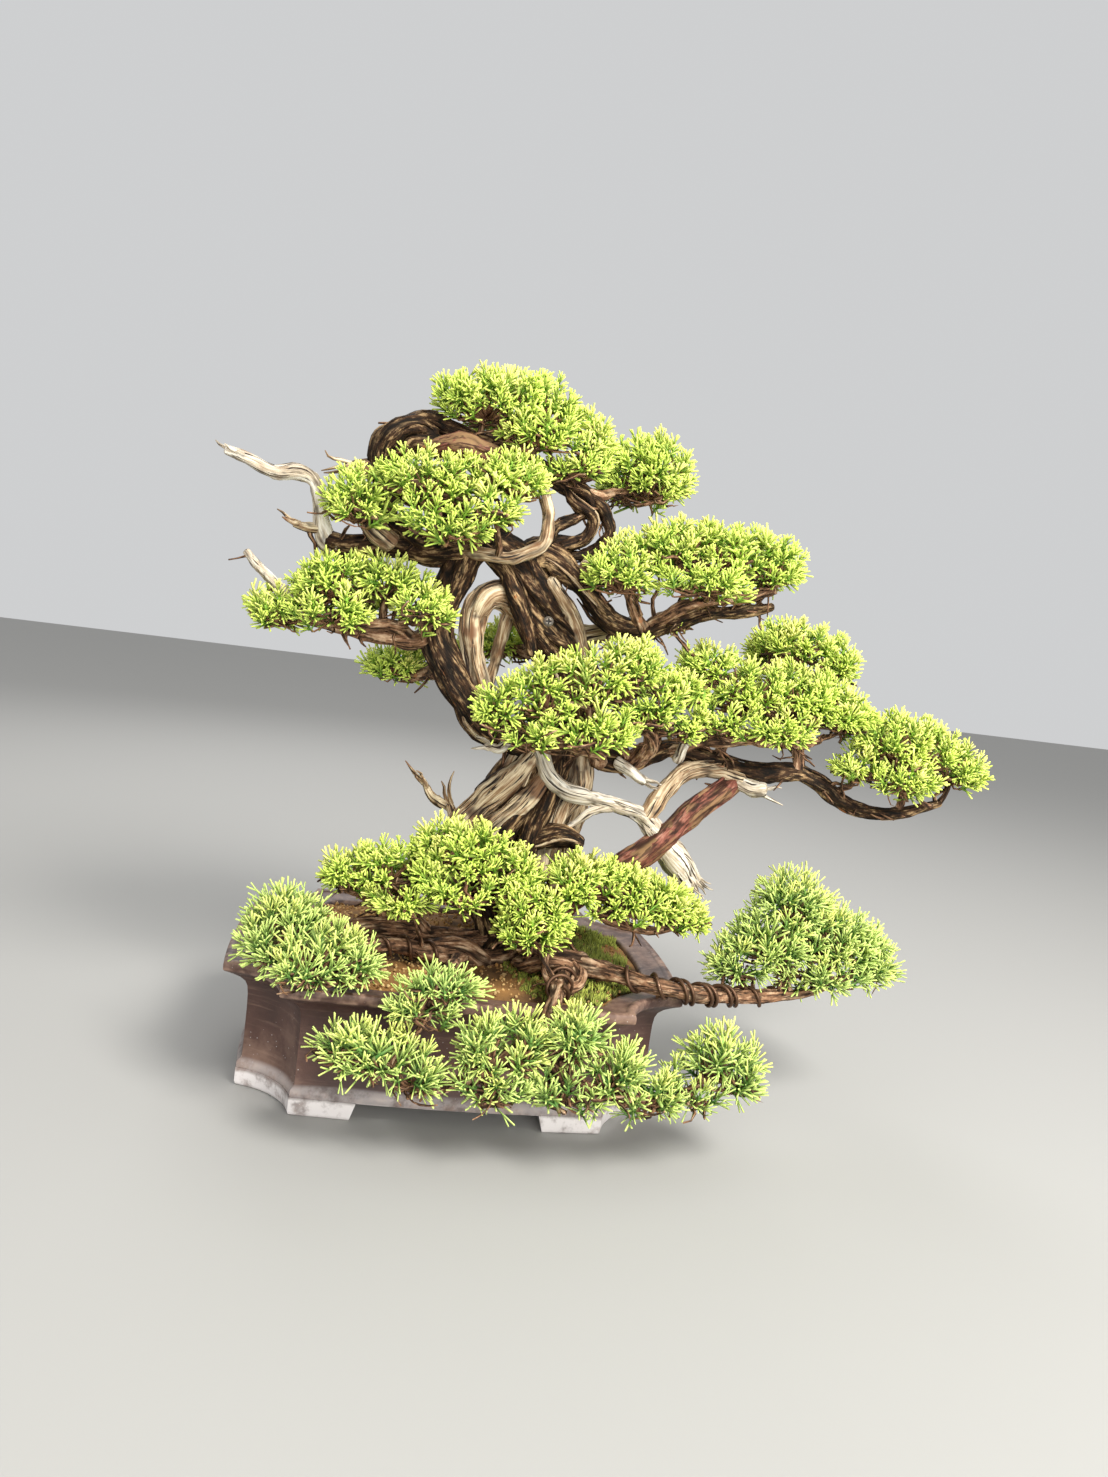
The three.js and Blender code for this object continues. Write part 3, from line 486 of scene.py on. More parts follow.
@dataclass(frozen=True)
class ClayFinish:
    """Unglazed red-brown clay with fine grain, handling marks and a pale mineral bloom low down."""

    body: Colour = srgb(86, 61, 53)
    dark: Colour = srgb(60, 41, 36)
    worn: Colour = srgb(162, 132, 114)
    bloom: Colour = srgb(228, 222, 220)

    def material(self) -> Material:
        """Makes the material.

        Returns:
            The material.
        """
        shader = Shader("unglazed_clay")
        place = shader.place()
        cloud = shader.noise(place, 18, 5.0, 0.6)
        grain = shader.noise(place, 900, 3.0, 0.7)
        speck = shader.cells(place, 240)
        height = shader.axis("Z")
        base = shader.ramp(cloud, (0.3, self.dark), (0.55, self.body), (0.86, self.worn))
        wiped = shader.mix(shader.noise(shader.place((0.25, 0.25, 3)), 90, 4.0, 0.6).band(0.5, 0.8) * 0.3,
                           base, self.worn)
        specked = shader.mix((1 - speck.band(0.03, 0.12)) * cloud.band(0.38, 0.54) * 0.8, wiped, self.bloom)
        edge = shader.attribute("edge")
        rubbed = shader.mix(edge * shader.noise(place, 120, 3.0).band(0.35, 0.7) * 0.8, specked, self.worn)
        moulding = (1 - (height + cloud * 0.004).band(0.021, 0.0245)) * 0.38
        foot = 1 - (height + cloud * 0.006).band(0.0135, 0.0165)
        patch = shader.noise(place, 75, 4.0, 0.65)
        low = (moulding + foot * 0.62) * (0.35 + 0.65 * patch.band(0.32, 0.55))
        colour = shader.mix(low, rubbed, self.bloom)
        rough = 0.42 + 0.16 * cloud + 0.35 * low
        normal = shader.bump(grain, 0.00012, 1.0, shader.bump(cloud, 0.001, 0.5))
        return shader.finish(Base_Color=colour, Roughness=rough, Normal=normal, Specular_IOR_Level=0.4)


@dataclass(frozen=True)
class FoliageFinish:
    """Scale foliage: brown where it leaves the twig, green along the shoot, yellow-green at the tips, with
    painted light on the lobes' tops and painted shade low down and inside the pad.
    """

    name: str
    root: Colour
    shade: Colour
    middle: Colour
    tip: Colour
    gold: Colour
    gold_share: float = 0.3

    def material(self) -> Material:
        """Makes the material.

        Returns:
            The material.
        """
        shader = Shader(self.name)
        tip = shader.attribute("tip")
        tone = shader.attribute("tone")
        deep = shader.attribute("deep")
        place = shader.place()
        patch = shader.noise(place, 30, 2.0)
        # Painted light and shade: tone rises towards the top of each lobe, so the tops turn golden and
        # middle green and the lower sides take the shade colour.
        ripe = (patch * 0.55 + tone * 0.45).band(0.72 - self.gold_share, 0.86 - self.gold_share * 0.4)
        fresh = shader.mix(ripe, self.tip, self.gold)
        green = shader.mix(tone, self.shade, self.middle)
        body = shader.mix(tip.band(0.25, 0.95), green, fresh)
        rooted = shader.mix(tip.band(0.0, 0.16), self.root, body)
        # Painted shade: the sprays inside the pad are darkened towards the shade colour.
        colour = shader.mix(deep * 0.45, rooted, self.shade)
        scales = shader.noise(place, 1600, 1.0)
        normal = shader.bump(scales, 0.0004, 0.6)
        return shader.finish(Base_Color=colour, Roughness=0.42 + 0.2 * tone, Normal=normal,
                             Specular_IOR_Level=0.3)


@dataclass(frozen=True)
class GranuleFinish:
    """Clay granules and soil, with a tone for each granule."""

    light: Colour = srgb(236, 204, 142)
    middle: Colour = srgb(168, 122, 66)
    dark: Colour = srgb(74, 52, 32)

    def material(self) -> Material:
        """Makes the material.

        Returns:
            The material.
        """
        shader = Shader("soil_granules")
        tone = shader.attribute("tone")
        place = shader.place()
        damp = shader.noise(place, 22, 3.0)
        base = shader.ramp(tone, (0.1, self.dark), (0.45, self.middle), (0.95, self.light))
        colour = shader.mix(damp.band(0.46, 0.66) * 0.5, base, self.dark)
        normal = shader.bump(shader.noise(place, 1400, 3.0, 0.7), 0.0004)
        return shader.finish(Base_Color=colour, Roughness=0.95, Normal=normal)


@dataclass(frozen=True)
class MossFinish:
    """Moss: short green leaves, darker at the root."""

    root: Colour = srgb(66, 64, 26)
    green: Colour = srgb(128, 142, 46)
    light: Colour = srgb(198, 206, 88)

    def material(self) -> Material:
        """Makes the material.

        Returns:
            The material.
        """
        shader = Shader("moss")
        fresh = shader.mix(shader.attribute("tone"), self.green, self.light)
        colour = shader.mix(shader.attribute("tip").band(0.0, 0.9), self.root, fresh)
        bump = shader.bump(shader.noise(shader.place(), 1800, 1.0), 0.0002)
        return shader.finish(Base_Color=colour, Roughness=0.7, Normal=bump)


@dataclass(frozen=True)
class WireFinish:
    """Dull brown training wire, scuffed to bare metal here and there."""

    coat: Colour = srgb(98, 72, 54)
    bare: Colour = srgb(168, 140, 116)

    def material(self) -> Material:
        """Makes the material.

        Returns:
            The material.
        """
        shader = Shader("training_wire")
        scuff = shader.noise(shader.place(), 380, 3.0, 0.7).band(0.62, 0.7)
        colour = shader.mix(scuff, self.coat, self.bare)
        return shader.finish(Base_Color=colour, Roughness=0.5 - 0.12 * scuff, Metallic=0.75)


@dataclass(frozen=True)
class SteelFinish:
    """Dull weathered zinc on the screw, with a little rust, and grime and painted shade in the cross of its
    head.
    """

    middle: tuple[float, float]
    zinc: Colour = srgb(142, 136, 126)
    rust: Colour = srgb(96, 70, 50)
    dirt_and_recess_shade: Colour = srgb(16, 12, 10)

    def material(self) -> Material:
        """Makes the material.

        Returns:
            The material.
        """
        shader = Shader("screw_steel")
        rust = shader.noise(shader.place(), 700, 4.0, 0.7).band(0.42, 0.66)
        away = [(shader.axis(name) - centre).math("ABSOLUTE") for name, centre in zip("XZ", self.middle)]
        arm = 1 - away[0].math("MINIMUM", away[1]).band(0.0004, 0.0007)
        inside = 1 - away[0].math("MAXIMUM", away[1]).band(0.0021, 0.0025)
        cross = arm * inside
        # Painted shade: the cross recess in the head is coloured near black, which also stands for the grime
        # in it.
        colour = shader.mix(cross, shader.mix(rust * 0.8, self.zinc, self.rust), self.dirt_and_recess_shade)
        metal = (1 - rust * 0.8) * (1 - cross) * 0.6
        return shader.finish(Base_Color=colour, Roughness=0.55 + 0.35 * rust, Metallic=metal)


@dataclass(frozen=True)
class PlasticFinish:
    """Black mesh plastic with soil dust on it."""

    black: Colour = srgb(24, 26, 25)
    dust: Colour = srgb(96, 78, 56)

    def material(self) -> Material:
        """Makes the material.

        Returns:
            The material.
        """
        shader = Shader("screen_plastic")
        dust = shader.noise(shader.place(), 240, 4.0, 0.6).band(0.5, 0.75)
        colour = shader.mix(dust * 0.6, self.black, self.dust)
        return shader.finish(Base_Color=colour, Roughness=0.55 + 0.3 * dust)


class GeometryTree(NodeTree):
    """A Geometry Nodes tree with named inputs, run once on a piece and turned into a plain mesh."""

    def __init__(self, name: str) -> None:
        """Starts the tree with a geometry input and output.

        Args:
            name: its name.
        """
        super().__init__(bpy.data.node_groups.new(name, "GeometryNodeTree"))
        for way in ("INPUT", "OUTPUT"):
            self.tree.interface.new_socket("Geometry", in_out=way, socket_type="NodeSocketGeometry")
        self.start = self.node("NodeGroupInput")
        self.end = self.node("NodeGroupOutput")

    def input(self, name: str, kind: str) -> Socket:
        """Adds a named input and returns the socket that carries it."""
        self.tree.interface.new_socket(name, in_out="INPUT", socket_type="NodeSocket" + kind)
        return self.start.outputs[name]

    def named(self, name: str, kind: str = "FLOAT") -> Socket:
        """A named attribute's socket."""
        node = self.node("GeometryNodeInputNamedAttribute", {"data_type": kind}, {"Name": name})
        return node.outputs["Attribute"]

    def dressed(self, geometry: Socket, material: Socket) -> Socket:
        """Realizes instances and sets their material."""
        real = self.node("GeometryNodeRealizeInstances", {}, {"Geometry": geometry}).outputs[0]
        return self.node("GeometryNodeSetMaterial", {}, {"Geometry": real, "Material": material}).outputs[0]

    def finish(self, *geometries: Socket) -> None:
        """Joins what the tree makes and ends it.

        Args:
            geometries: what it makes.
        """
        join = self.node("GeometryNodeJoinGeometry")
        for geometry in geometries:
            self.tree.links.new(geometry, join.inputs[0])
        self.tree.links.new(join.outputs[0], self.end.inputs[0])

    def run(self, piece: bpy.types.Object, **values: object) -> None:
        """Runs the tree on a piece and leaves a plain mesh.

        Args:
            piece: a mesh object, changed in place.
            values: the tree's inputs, by name.
        """
        modifier = piece.modifiers.new(self.tree.name, "NODES")
        modifier.node_group = self.tree
        for item in self.tree.interface.items_tree:
            if item.in_out == "INPUT" and item.name in values:
                modifier[item.identifier] = values[item.name]
        graph = bpy.context.evaluated_depsgraph_get()
        made = bpy.data.meshes.new_from_object(
            piece.evaluated_get(graph), preserve_all_data_layers=True, depsgraph=graph)
        piece.modifiers.clear()
        piece.data = made


Path = Sequence[Sequence[float]]


@dataclass(frozen=True)
class Route:
    """A smooth route with evenly spaced stations, in millimetres."""

    centres: np.ndarray
    radii: np.ndarray
    tangents: np.ndarray
    normals: np.ndarray
    along: np.ndarray

    @classmethod
    def through(cls, points: Path, spacing: float) -> "Route":
        """A centripetal Catmull-Rom curve.

        Args:
            points: the given x, y, z and radius.
            spacing: about how far apart the stations are.

        Returns:
            The route.
        """
        knots = np.asarray(points, float)
        padded = np.vstack([2 * knots[0] - knots[1], knots, 2 * knots[-1] - knots[-2]])[:, :3]
        fine = []
        part = np.linspace(0, 1, 16, endpoint=False)[:, None]
        for i in range(len(knots) - 1):
            p0, p1, p2, p3 = padded[i:i + 4]
            d0, d1, d2 = np.maximum(np.linalg.norm(np.diff(padded[i:i + 4], axis=0), axis=1) ** 0.5, 1e-4)
            t1 = ((p1 - p0) / d0 - (p2 - p0) / (d0 + d1) + (p2 - p1) / d1) * d1
            t2 = ((p2 - p1) / d1 - (p3 - p1) / (d1 + d2) + (p3 - p2) / d2) * d1
            place = (p1 + t1 * part + (3 * (p2 - p1) - 2 * t1 - t2) * part ** 2
                     + (2 * (p1 - p2) + t1 + t2) * part ** 3)
            radius = knots[i, 3] + (knots[i + 1, 3] - knots[i, 3]) * part
            fine.append(np.hstack([place, radius]))
        fine = np.vstack([*fine, knots[-1:]])
        steps = np.linalg.norm(np.diff(fine[:, :3], axis=0), axis=1)
        run = np.concatenate([[0.0], np.cumsum(steps)])
        along = np.linspace(0, run[-1], max(3, round(run[-1] / spacing) + 1))
        even = np.stack([np.interp(along, run, fine[:, k]) for k in range(4)], axis=1)
        return cls.along_centres(even[:, :3], even[:, 3], along)

    @classmethod
    def along_centres(cls, centres: np.ndarray, radii: np.ndarray, along: np.ndarray) -> "Route":
        """A route from its stations, with normals carried along it that don't turn about it.

        Args:
            centres: the stations' places.
            radii: the radius at each.
            along: the run up to each.

        Returns:
            The route.
        """
        tangents = unit(np.gradient(centres, axis=0))
        normals = np.zeros_like(tangents)
        side = np.eye(3)[np.argmin(np.abs(tangents[0]))]
        for i, tangent in enumerate(tangents):
            side = unit(side - tangent * side.dot(tangent))
            normals[i] = side
        return cls(centres, radii, tangents, normals, along)

    def swayed(self, amount: float, seed: int) -> "Route":
        """The route with its centres pushed about by a share of the radius, and its thickness uneven.

        Args:
            amount: the share. Both ends stay in place.
            seed: picks the pattern.

        Returns:
            The changed route.
        """
        if not amount:
            return self
        thickest = self.radii.max()
        pace = self.along / (2.6 * thickest)
        rows = [np.full((len(pace), 2), (5.3 * k, 0.5)) for k in range(3)]
        side, rise, swell = (value_noise(np.column_stack([pace, row]), seed + 40) for row in rows)
        held = np.clip(np.minimum(self.along, self.along[-1] - self.along) / (2 * thickest), 0, 1)
        across = np.cross(self.tangents, self.normals)
        push = self.normals * side[:, None] + across * rise[:, None]
        centres = self.centres + push * (1.6 * amount * held * self.radii)[:, None]
        return Route.along_centres(centres, self.radii * (1 + amount * swell), self.along)

    def side(self, share: float, turn: float) -> tuple[np.ndarray, float, np.ndarray, np.ndarray]:
        """What a shoot needs that leaves the route to one side.

        Args:
            share: the place, as a share of the length.
            turn: the side, as an angle from the carried normal.

        Returns:
            The centre, the radius, the tangent and the way out.
        """
        i = int(round(share * (len(self.along) - 1)))
        tangent, normal = self.tangents[i], self.normals[i]
        out = normal * math.cos(turn) + np.cross(tangent, normal) * math.sin(turn)
        return self.centres[i], float(self.radii[i]), tangent, out


def tube_faces(rings: int, sides: int, flat_start: bool = False) -> list[np.ndarray]:
    """Quads round a tube of rings, then triangles to one point after the last ring and one before the first.

    Args:
        rings: how many rings of points, each with the same number.
        sides: points in a ring. The pole at the start comes after all rings, then the one at the end.
        flat_start: closes the start with one face. Only the end then has a pole.

    Returns:
        The quads and the triangles.
    """
    ring = np.arange(rings - 1)[:, None] * sides
    j = np.arange(sides)[None, :]
    k = (j + 1) % sides
    quads = np.stack([ring + j, ring + k, ring + k + sides, ring + j + sides], axis=-1).reshape(-1, 4)
    j, k = j[0], k[0]
    top = (rings - 1) * sides
    last = rings * sides + (0 if flat_start else 1)
    end = np.stack([np.full(sides, last), top + j, top + k], axis=-1)
    if flat_start:
        return [quads, end, np.arange(sides)[None, ::-1]]
    start = np.stack([np.full(sides, rings * sides), k, j], axis=-1)
    return [quads, np.vstack([start, end])]


class Wood(Enum):
    """The kinds of wood surface, in the order of the wood's materials."""

    BARK = 0
    BARE = 1
    SILVER = 2
    RED = 3
    TWIG = 4


@dataclass(frozen=True)
class Grain:
    """How a limb's surface is worked, in millimetres and shares of its radius."""

    wood: Wood
    flutes: float = 0.3
    lumps: float = 0.16
    fibre: float = 0.45
    twist: float = 0.9
    spacing: float = 3.7
    face: float = 2.9
    sway: float = 0.14

    def add(self, shell: Shell, points: Path, seed: int, slot: int | None = None) -> Route:
        """Adds a limb along a route.

        Args:
            shell: the mesh to add to.
            points: the given x, y, z and radius, in millimetres.
            seed: picks the pattern of its relief.
            slot: its material's place, or None for that of its wood.

        Returns:
            The limb's route.
        """
        route = Route.through(points, self.spacing).swayed(self.sway, seed)
        biggest = route.radii.max()
        sides = int(np.clip(FULL_TURN * biggest / self.face, 5, 72))
        centres, radii, tangents, normals, along = self._with_ends(route)
        angle = np.broadcast_to(np.arange(sides) * 2 * math.pi / sides, (len(radii), sides))
        base = np.broadcast_to(radii[:, None], angle.shape)
        run = np.broadcast_to(along[:, None], angle.shape)
        turned = angle + self.twist * run / 100
        round_x, round_y = np.cos(turned) * biggest, np.sin(turned) * biggest

        def relief(cell: float, stretch: float, pattern: int) -> np.ndarray:
            """Noise over the limb's surface, with cells of a size, stretched along the limb."""
            cells = np.stack([round_x / cell, round_y / cell, run / (cell * stretch)], axis=-1)
            return value_noise(cells.reshape(-1, 3), seed * 7 + pattern).reshape(angle.shape)

        broad = np.abs(relief(max(biggest * 0.72, 2.2), 4.5, 0))
        narrow = np.abs(relief(max(biggest * 0.3, 1.6), 7, 1))
        flute = 1.9 * np.minimum(broad, 0.42) + 0.55 * np.minimum(narrow, 0.4) - 0.6
        lump = relief(biggest * 1.2, 1.3, 2) + 0.6 * relief(biggest * 0.5, 1.2, 4)
        fibre = relief(2.2, 9, 3)
        radius = base * (1 + self.flutes * flute + self.lumps * lump)
        radius = radius + self.fibre * fibre * np.minimum(1, base / 4)
        across = np.cross(tangents, normals)
        out = np.cos(angle)[..., None] * normals[:, None] + np.sin(angle)[..., None] * across[:, None]
        surface = centres[:, None] + out * radius[..., None]
        poles = np.stack([centres[0] - tangents[0] * 0.1, centres[-1] + tangents[-1] * 0.1])
        grain = np.stack([np.cos(turned) * base, np.sin(turned) * base, run], axis=-1).reshape(-1, 3) * MM
        # Painted shade mask: near 1 in the relief's deepest grooves, where the bark and wood shaders darken
        # the colour.
        hollow = np.clip(1.0 - broad / 0.16 + 0.6 * np.clip(1 - narrow / 0.14, 0, 1), 0, 1).ravel()
        shell.add(LAYOUT.place(np.vstack([surface.reshape(-1, 3), poles])), tube_faces(len(radii), sides),
                  self.wood.value if slot is None else slot, grain=np.vstack([grain, grain[:1], grain[-1:]]),
                  hollow=np.concatenate([hollow, [0, 0]]))
        return route

    @staticmethod
    def _with_ends(route: Route) -> tuple[np.ndarray, ...]:
        """The route's stations with two more at each end, which round it off.

        Args:
            route: the limb's route.

        Returns:
            Centres, radii, tangents, normals and run.
        """
        bends = np.radians([70.0, 38.0])
        parts = []
        for index, sign, order in ((0, -1, bends), (-1, 1, bends[::-1])):
            rise = 0.45 * route.radii[index] * sign * np.sin(order)
            shape = (len(order), 1)
            parts.append((route.centres[index] + route.tangents[index] * rise[:, None],
                          route.radii[index] * np.cos(order), np.tile(route.tangents[index], shape),
                          np.tile(route.normals[index], shape), route.along[index] + rise))
        start, end = parts
        middle = (route.centres, route.radii, route.tangents, route.normals, route.along)
        return tuple(np.concatenate(rows) for rows in zip(start, middle, end))


BARK = Grain(Wood.BARK)
KNOTTY = Grain(Wood.BARK, flutes=0.34, lumps=0.3, spacing=3.4, sway=0.2)
WIRED = Grain(Wood.TWIG, lumps=0.2, sway=0.0)
BARE = Grain(Wood.BARE, flutes=0.34, lumps=0.16)
SILVER = Grain(Wood.SILVER, flutes=0.3, lumps=0.16, spacing=3.0, face=2.2, sway=0.2)
WEATHERED = Grain(Wood.SILVER, flutes=0.34, lumps=0.16)
RED = Grain(Wood.RED, flutes=0.2, lumps=0.22, sway=0.2)
TWIG = Grain(Wood.TWIG, flutes=0.22, lumps=0.26, spacing=4.2, face=3.0, sway=0.3)
BRANCHLET = Grain(Wood.TWIG, flutes=0.15, lumps=0.3, fibre=0.2, spacing=6.0, face=3.0, sway=0.4)
STRAND = Grain(Wood.BARK, 0.15, 0.15, 0.15, 0.5, 5.0, 1.9, 0.1)
PALE_STRANDS = 0.12


def any_seed(random: Random) -> int:
    """A seed for a limb's relief."""
    return int(random.integers(1, 9999))


TRUNK = [
    [58, 18, 60, 28], [50, 15, 92, 35], [36, 8, 135, 31], [29, 5, 185, 27], [40, 5, 222, 24],
    [57, 10, 252, 21], [68, 15, 281, 19], [69, 18, 305, 19], [55, 15, 335, 21], [30, 10, 368, 20],
    [11, 5, 396, 17], [-8, 0, 410, 14],
]
TRUNK_FOLDS = [
    [[-22, -12, 165, 7], [-13, -18, 190, 9], [4, -17, 211, 10], [26, -13, 230, 10], [45, -6, 252, 8]],
    [[2, -20, 150, 9], [8, -23, 178, 10], [25, -21, 200, 11], [42, -15, 222, 10], [52, -7, 244, 8]],
    [[58, -14, 160, 9], [66, -9, 205, 10], [77, -4, 232, 10], [79, 2, 259, 9], [74, 8, 285, 8]],
    [[-10, -14, 190, 6], [-19, -16, 208, 3]],
    [[45, -22, 188, 8], [68, -26, 195, 9], [84, -27, 190, 6]],
]
LEFT_LIMB = [
    [57, 5, 258, 15], [22, -5, 263, 13], [-4, -13, 270, 10], [-16, -15, 287, 10], [-33, -12, 314, 11],
    [-43, -10, 334, 12], [-42, -5, 358, 12], [-34, 0, 382, 13], [-24, 0, 405, 14],
]
HOLLOW_ARCH = [
    [-3, -12, 272, 9], [-8, -5, 298, 9], [-15, -5, 327, 9], [-18, -5, 354, 9], [-8, -5, 371, 9],
    [6, 0, 370, 10], [22, 8, 356, 9], [34, 14, 344, 6],
]
HOLLOW_BACK = [[-2, 6, 288, 5], [4, 8, 318, 4], [8, 7, 348, 5], [12, 5, 362, 6]]
LOWER_JIN = [
    [45, -10, 262, 6], [53, -22, 240, 6], [67, -27, 230, 6], [87, -27, 226, 5.5], [106, -25, 224, 5.5],
    [128, -25, 217, 6], [141, -25, 206, 8.5], [155, -23, 191, 11], [167, -21, 178, 12], [176, -19, 165, 10],
]
LOWER_JIN_STUB = [[74, -22, 202, 2.5], [89, -26, 215, 3.5], [107, -25, 222, 3.5]]
RIGHT_ARCH = [
    [132, -25, 214, 7], [150, -20, 242, 7], [164, -18, 255, 7], [185, -15, 257, 7], [206, -15, 252, 8],
]
RED_BRANCH = [
    [62, 0, 115, 13], [85, -12, 143, 10], [105, -22, 162, 9.5], [127, -32, 185, 8.5], [145, -33, 200, 8.5],
    [167, -30, 222, 8.5], [190, -24, 241, 8.5], [199, -16, 246, 7.5], [207, -10, 251, 6],
]
RIGHT_BRANCH = [
    [66, 14, 283, 13], [83, 5, 262, 11], [100, 0, 254, 9], [117, 0, 254, 8], [135, -2, 262, 7],
    [151, -5, 269, 7], [187, -10, 263, 7], [219, -15, 258, 8], [253, -15, 262, 7], [275, -15, 254, 6],
    [291, -15, 243, 5.5], [312, -15, 237, 5], [341, -15, 238, 4.5], [375, -15, 251, 3],
]
UPPER_RIGHT_BRANCH = [
    [8, 4, 396, 12], [32, 0, 408, 10.5], [52, -5, 397, 10], [69, -10, 380, 9.5], [89, -14, 362, 9],
    [111, -15, 357, 7], [131, -15, 365, 6], [156, -15, 376, 5.5], [187, -15, 382, 4.5], [212, -15, 389, 3.5],
]
BROKEN_LIMB = [[50, 14, 343, 10], [75, 20, 350, 8], [95, 26, 355, 7]]
UPPER_LEFT_JIN = [
    [-20, 0, 404, 13], [-48, -4, 398, 11], [-70, -5, 399, 10], [-96, -5, 396, 9], [-118, -5, 392, 8.5],
    [-130, -5, 393, 8], [-136, -5, 404, 6.5], [-141, -5, 423, 5], [-146, -8, 436, 5], [-156, -10, 440, 5],
    [-173, -14, 438, 5], [-190, -18, 444, 4], [-207, -20, 448, 3.5],
]
UPPER_LEFT_STUB = [[-132, -5, 403, 4], [-146, -7, 402, 3.5], [-156, -8, 404, 2.5]]
CROWN_LIMB = [
    [-18, 0, 406, 13], [-34, 0, 424, 12.5], [-50, 4, 437, 12], [-74, 5, 441, 11], [-90, 4, 449, 11],
    [-96, 0, 462, 9], [-91, 0, 478, 7.5], [-80, 0, 489, 7], [-70, 0, 494, 6.5], [-54, 0, 489, 6.5],
    [-35, -2, 484, 6.5], [-16, -2, 481, 6.5], [4, 0, 477, 6.5], [24, 0, 470, 6.5], [41, 0, 461, 7],
    [57, 2, 457, 6], [66, 5, 445, 5], [66, 8, 428, 5], [54, 5, 418, 5], [36, 2, 415, 6], [18, 3, 405, 7],
]
PALE_LOOP = [
    [24, -2, 468, 4], [24, -14, 452, 4], [29, -24, 432, 4], [26, -28, 412, 4.5], [6, -28, 399, 5],
    [-14, -22, 399, 5], [-28, -8, 400, 5],
]
ROOTS = [
    [[48, 10, 106, 16], [20, 22, 91, 10], [0, 28, 82, 5]],
    [[56, 22, 104, 15], [78, 46, 89, 9], [88, 60, 81, 5]],
    [[44, 0, 104, 14], [24, -26, 89, 9], [12, -38, 81, 5]],
]
LOW_LEFT = [
    [48, 8, 100, 11], [10, -8, 101, 8], [-22, -22, 106, 7.5], [-57, -38, 115, 7], [-88, -52, 116, 6],
    [-108, -68, 118, 4], [-122, -84, 118, 3],
]
LOW_LEFT_FRONT = [
    [45, -5, 97, 9], [32, -35, 97, 7], [1, -48, 99, 6.5], [-22, -55, 103, 6], [-48, -60, 108, 5.5],
    [-72, -78, 110, 4], [-94, -104, 112, 3],
]
LOW_FRONT = [
    [50, -8, 98, 11], [66, -40, 99, 9], [75, -75, 101, 8], [69, -105, 104, 6.5], [62, -134, 104, 5.5],
    [56, -154, 97, 5], [53, -164, 80, 4.5], [66, -170, 62, 3.5],
]
LOW_RIGHT = [
    [64, -30, 102, 10], [88, -60, 105, 8], [110, -76, 106, 6.5], [130, -90, 106, 6], [151, -98, 105, 6],
    [172, -93, 101, 6], [196, -80, 97, 5.5], [224, -70, 95, 5], [250, -65, 96, 4.5], [270, -62, 99, 3.5],
    [290, -58, 107, 2.5],
]
TWIGS = [
    [[-22, -22, 106, 5], [-40, -38, 132, 4], [-52, -52, 154, 2.5]],
    [[22, -18, 150, 8], [10, -45, 166, 5], [0, -66, 180, 2.5]],
    [[60, -10, 138, 8], [74, -42, 154, 5], [92, -68, 166, 3.5], [120, -70, 165, 2.5]],
    [[56, -156, 94, 4], [30, -168, 74, 4], [2, -174, 58, 3.5], [-30, -172, 50, 3], [-44, -170, 62, 2.5]],
    [[53, -164, 78, 4], [85, -173, 60, 3.5], [116, -168, 50, 3.5], [150, -160, 54, 3], [176, -152, 70, 2.5]],
    [[2, -50, 99, 5], [-10, -95, 106, 4], [-18, -130, 106, 3.5], [-20, -150, 112, 2.5]],
    [[2, -174, 58, 3.5], [10, -178, 62, 3], [20, -175, 76, 2.5]],
    [[252, -65, 96, 4.5], [250, -55, 112, 3.5], [246, -50, 128, 2.5]],
    [[272, -62, 99, 3.5], [282, -52, 114, 3], [290, -42, 130, 2.5]],
    [[-42, -8, 338, 8], [-60, -14, 330, 6], [-82, -22, 328, 5], [-110, -26, 331, 4.5],
     [-138, -24, 334, 3.5]],
    [[-84, -22, 328, 4], [-84, -24, 348, 3], [-82, -26, 366, 2.5]],
    [[-136, -22, 336, 4], [-162, -15, 356, 4], [-178, -17, 370, 3.5], [-187, -18, 379, 2.5]],
    [[-33, -8, 314, 7], [-44, 26, 304, 5], [-60, 52, 299, 4], [-76, 62, 302, 2.5]],
    [[46, 24, 334, 8], [30, 50, 331, 5], [12, 66, 334, 2.5]],
    [[156, -15, 376, 4.5], [160, -14, 396, 3.5], [168, -14, 416, 2.5]],
    [[112, -15, 358, 5], [100, -24, 378, 4], [90, -30, 394, 2.5]],
    [[132, -15, 365, 4], [136, -12, 364, 3.5], [141, -10, 367, 2.5]],
    [[187, -10, 263, 5.5], [196, -10, 290, 4], [202, -10, 314, 2.5]],
    [[253, -15, 262, 5], [250, -12, 288, 4], [247, -10, 312, 2.5]],
    [[341, -15, 238, 4], [342, -16, 262, 3.5], [342, -15, 286, 2.5]],
    [[118, 0, 254, 6], [104, -24, 272, 4.5], [84, -50, 292, 3.5], [60, -62, 300, 2.5]],
    [[68, 22, 290, 10], [118, 45, 306, 6], [180, 56, 320, 5], [230, 56, 338, 4], [258, 50, 358, 2.5]],
    [[4, 0, 477, 5], [8, 4, 494, 3.5], [10, 5, 508, 2.5]],
    [[57, 2, 457, 5], [80, 12, 461, 4], [104, 20, 472, 2.5]],
    [[-54, 4, 437, 7], [-57, -20, 440, 4], [-60, -42, 444, 2.5]],
    [[52, 28, 120, 10], [60, 58, 124, 6], [68, 86, 138, 2.5]],
]
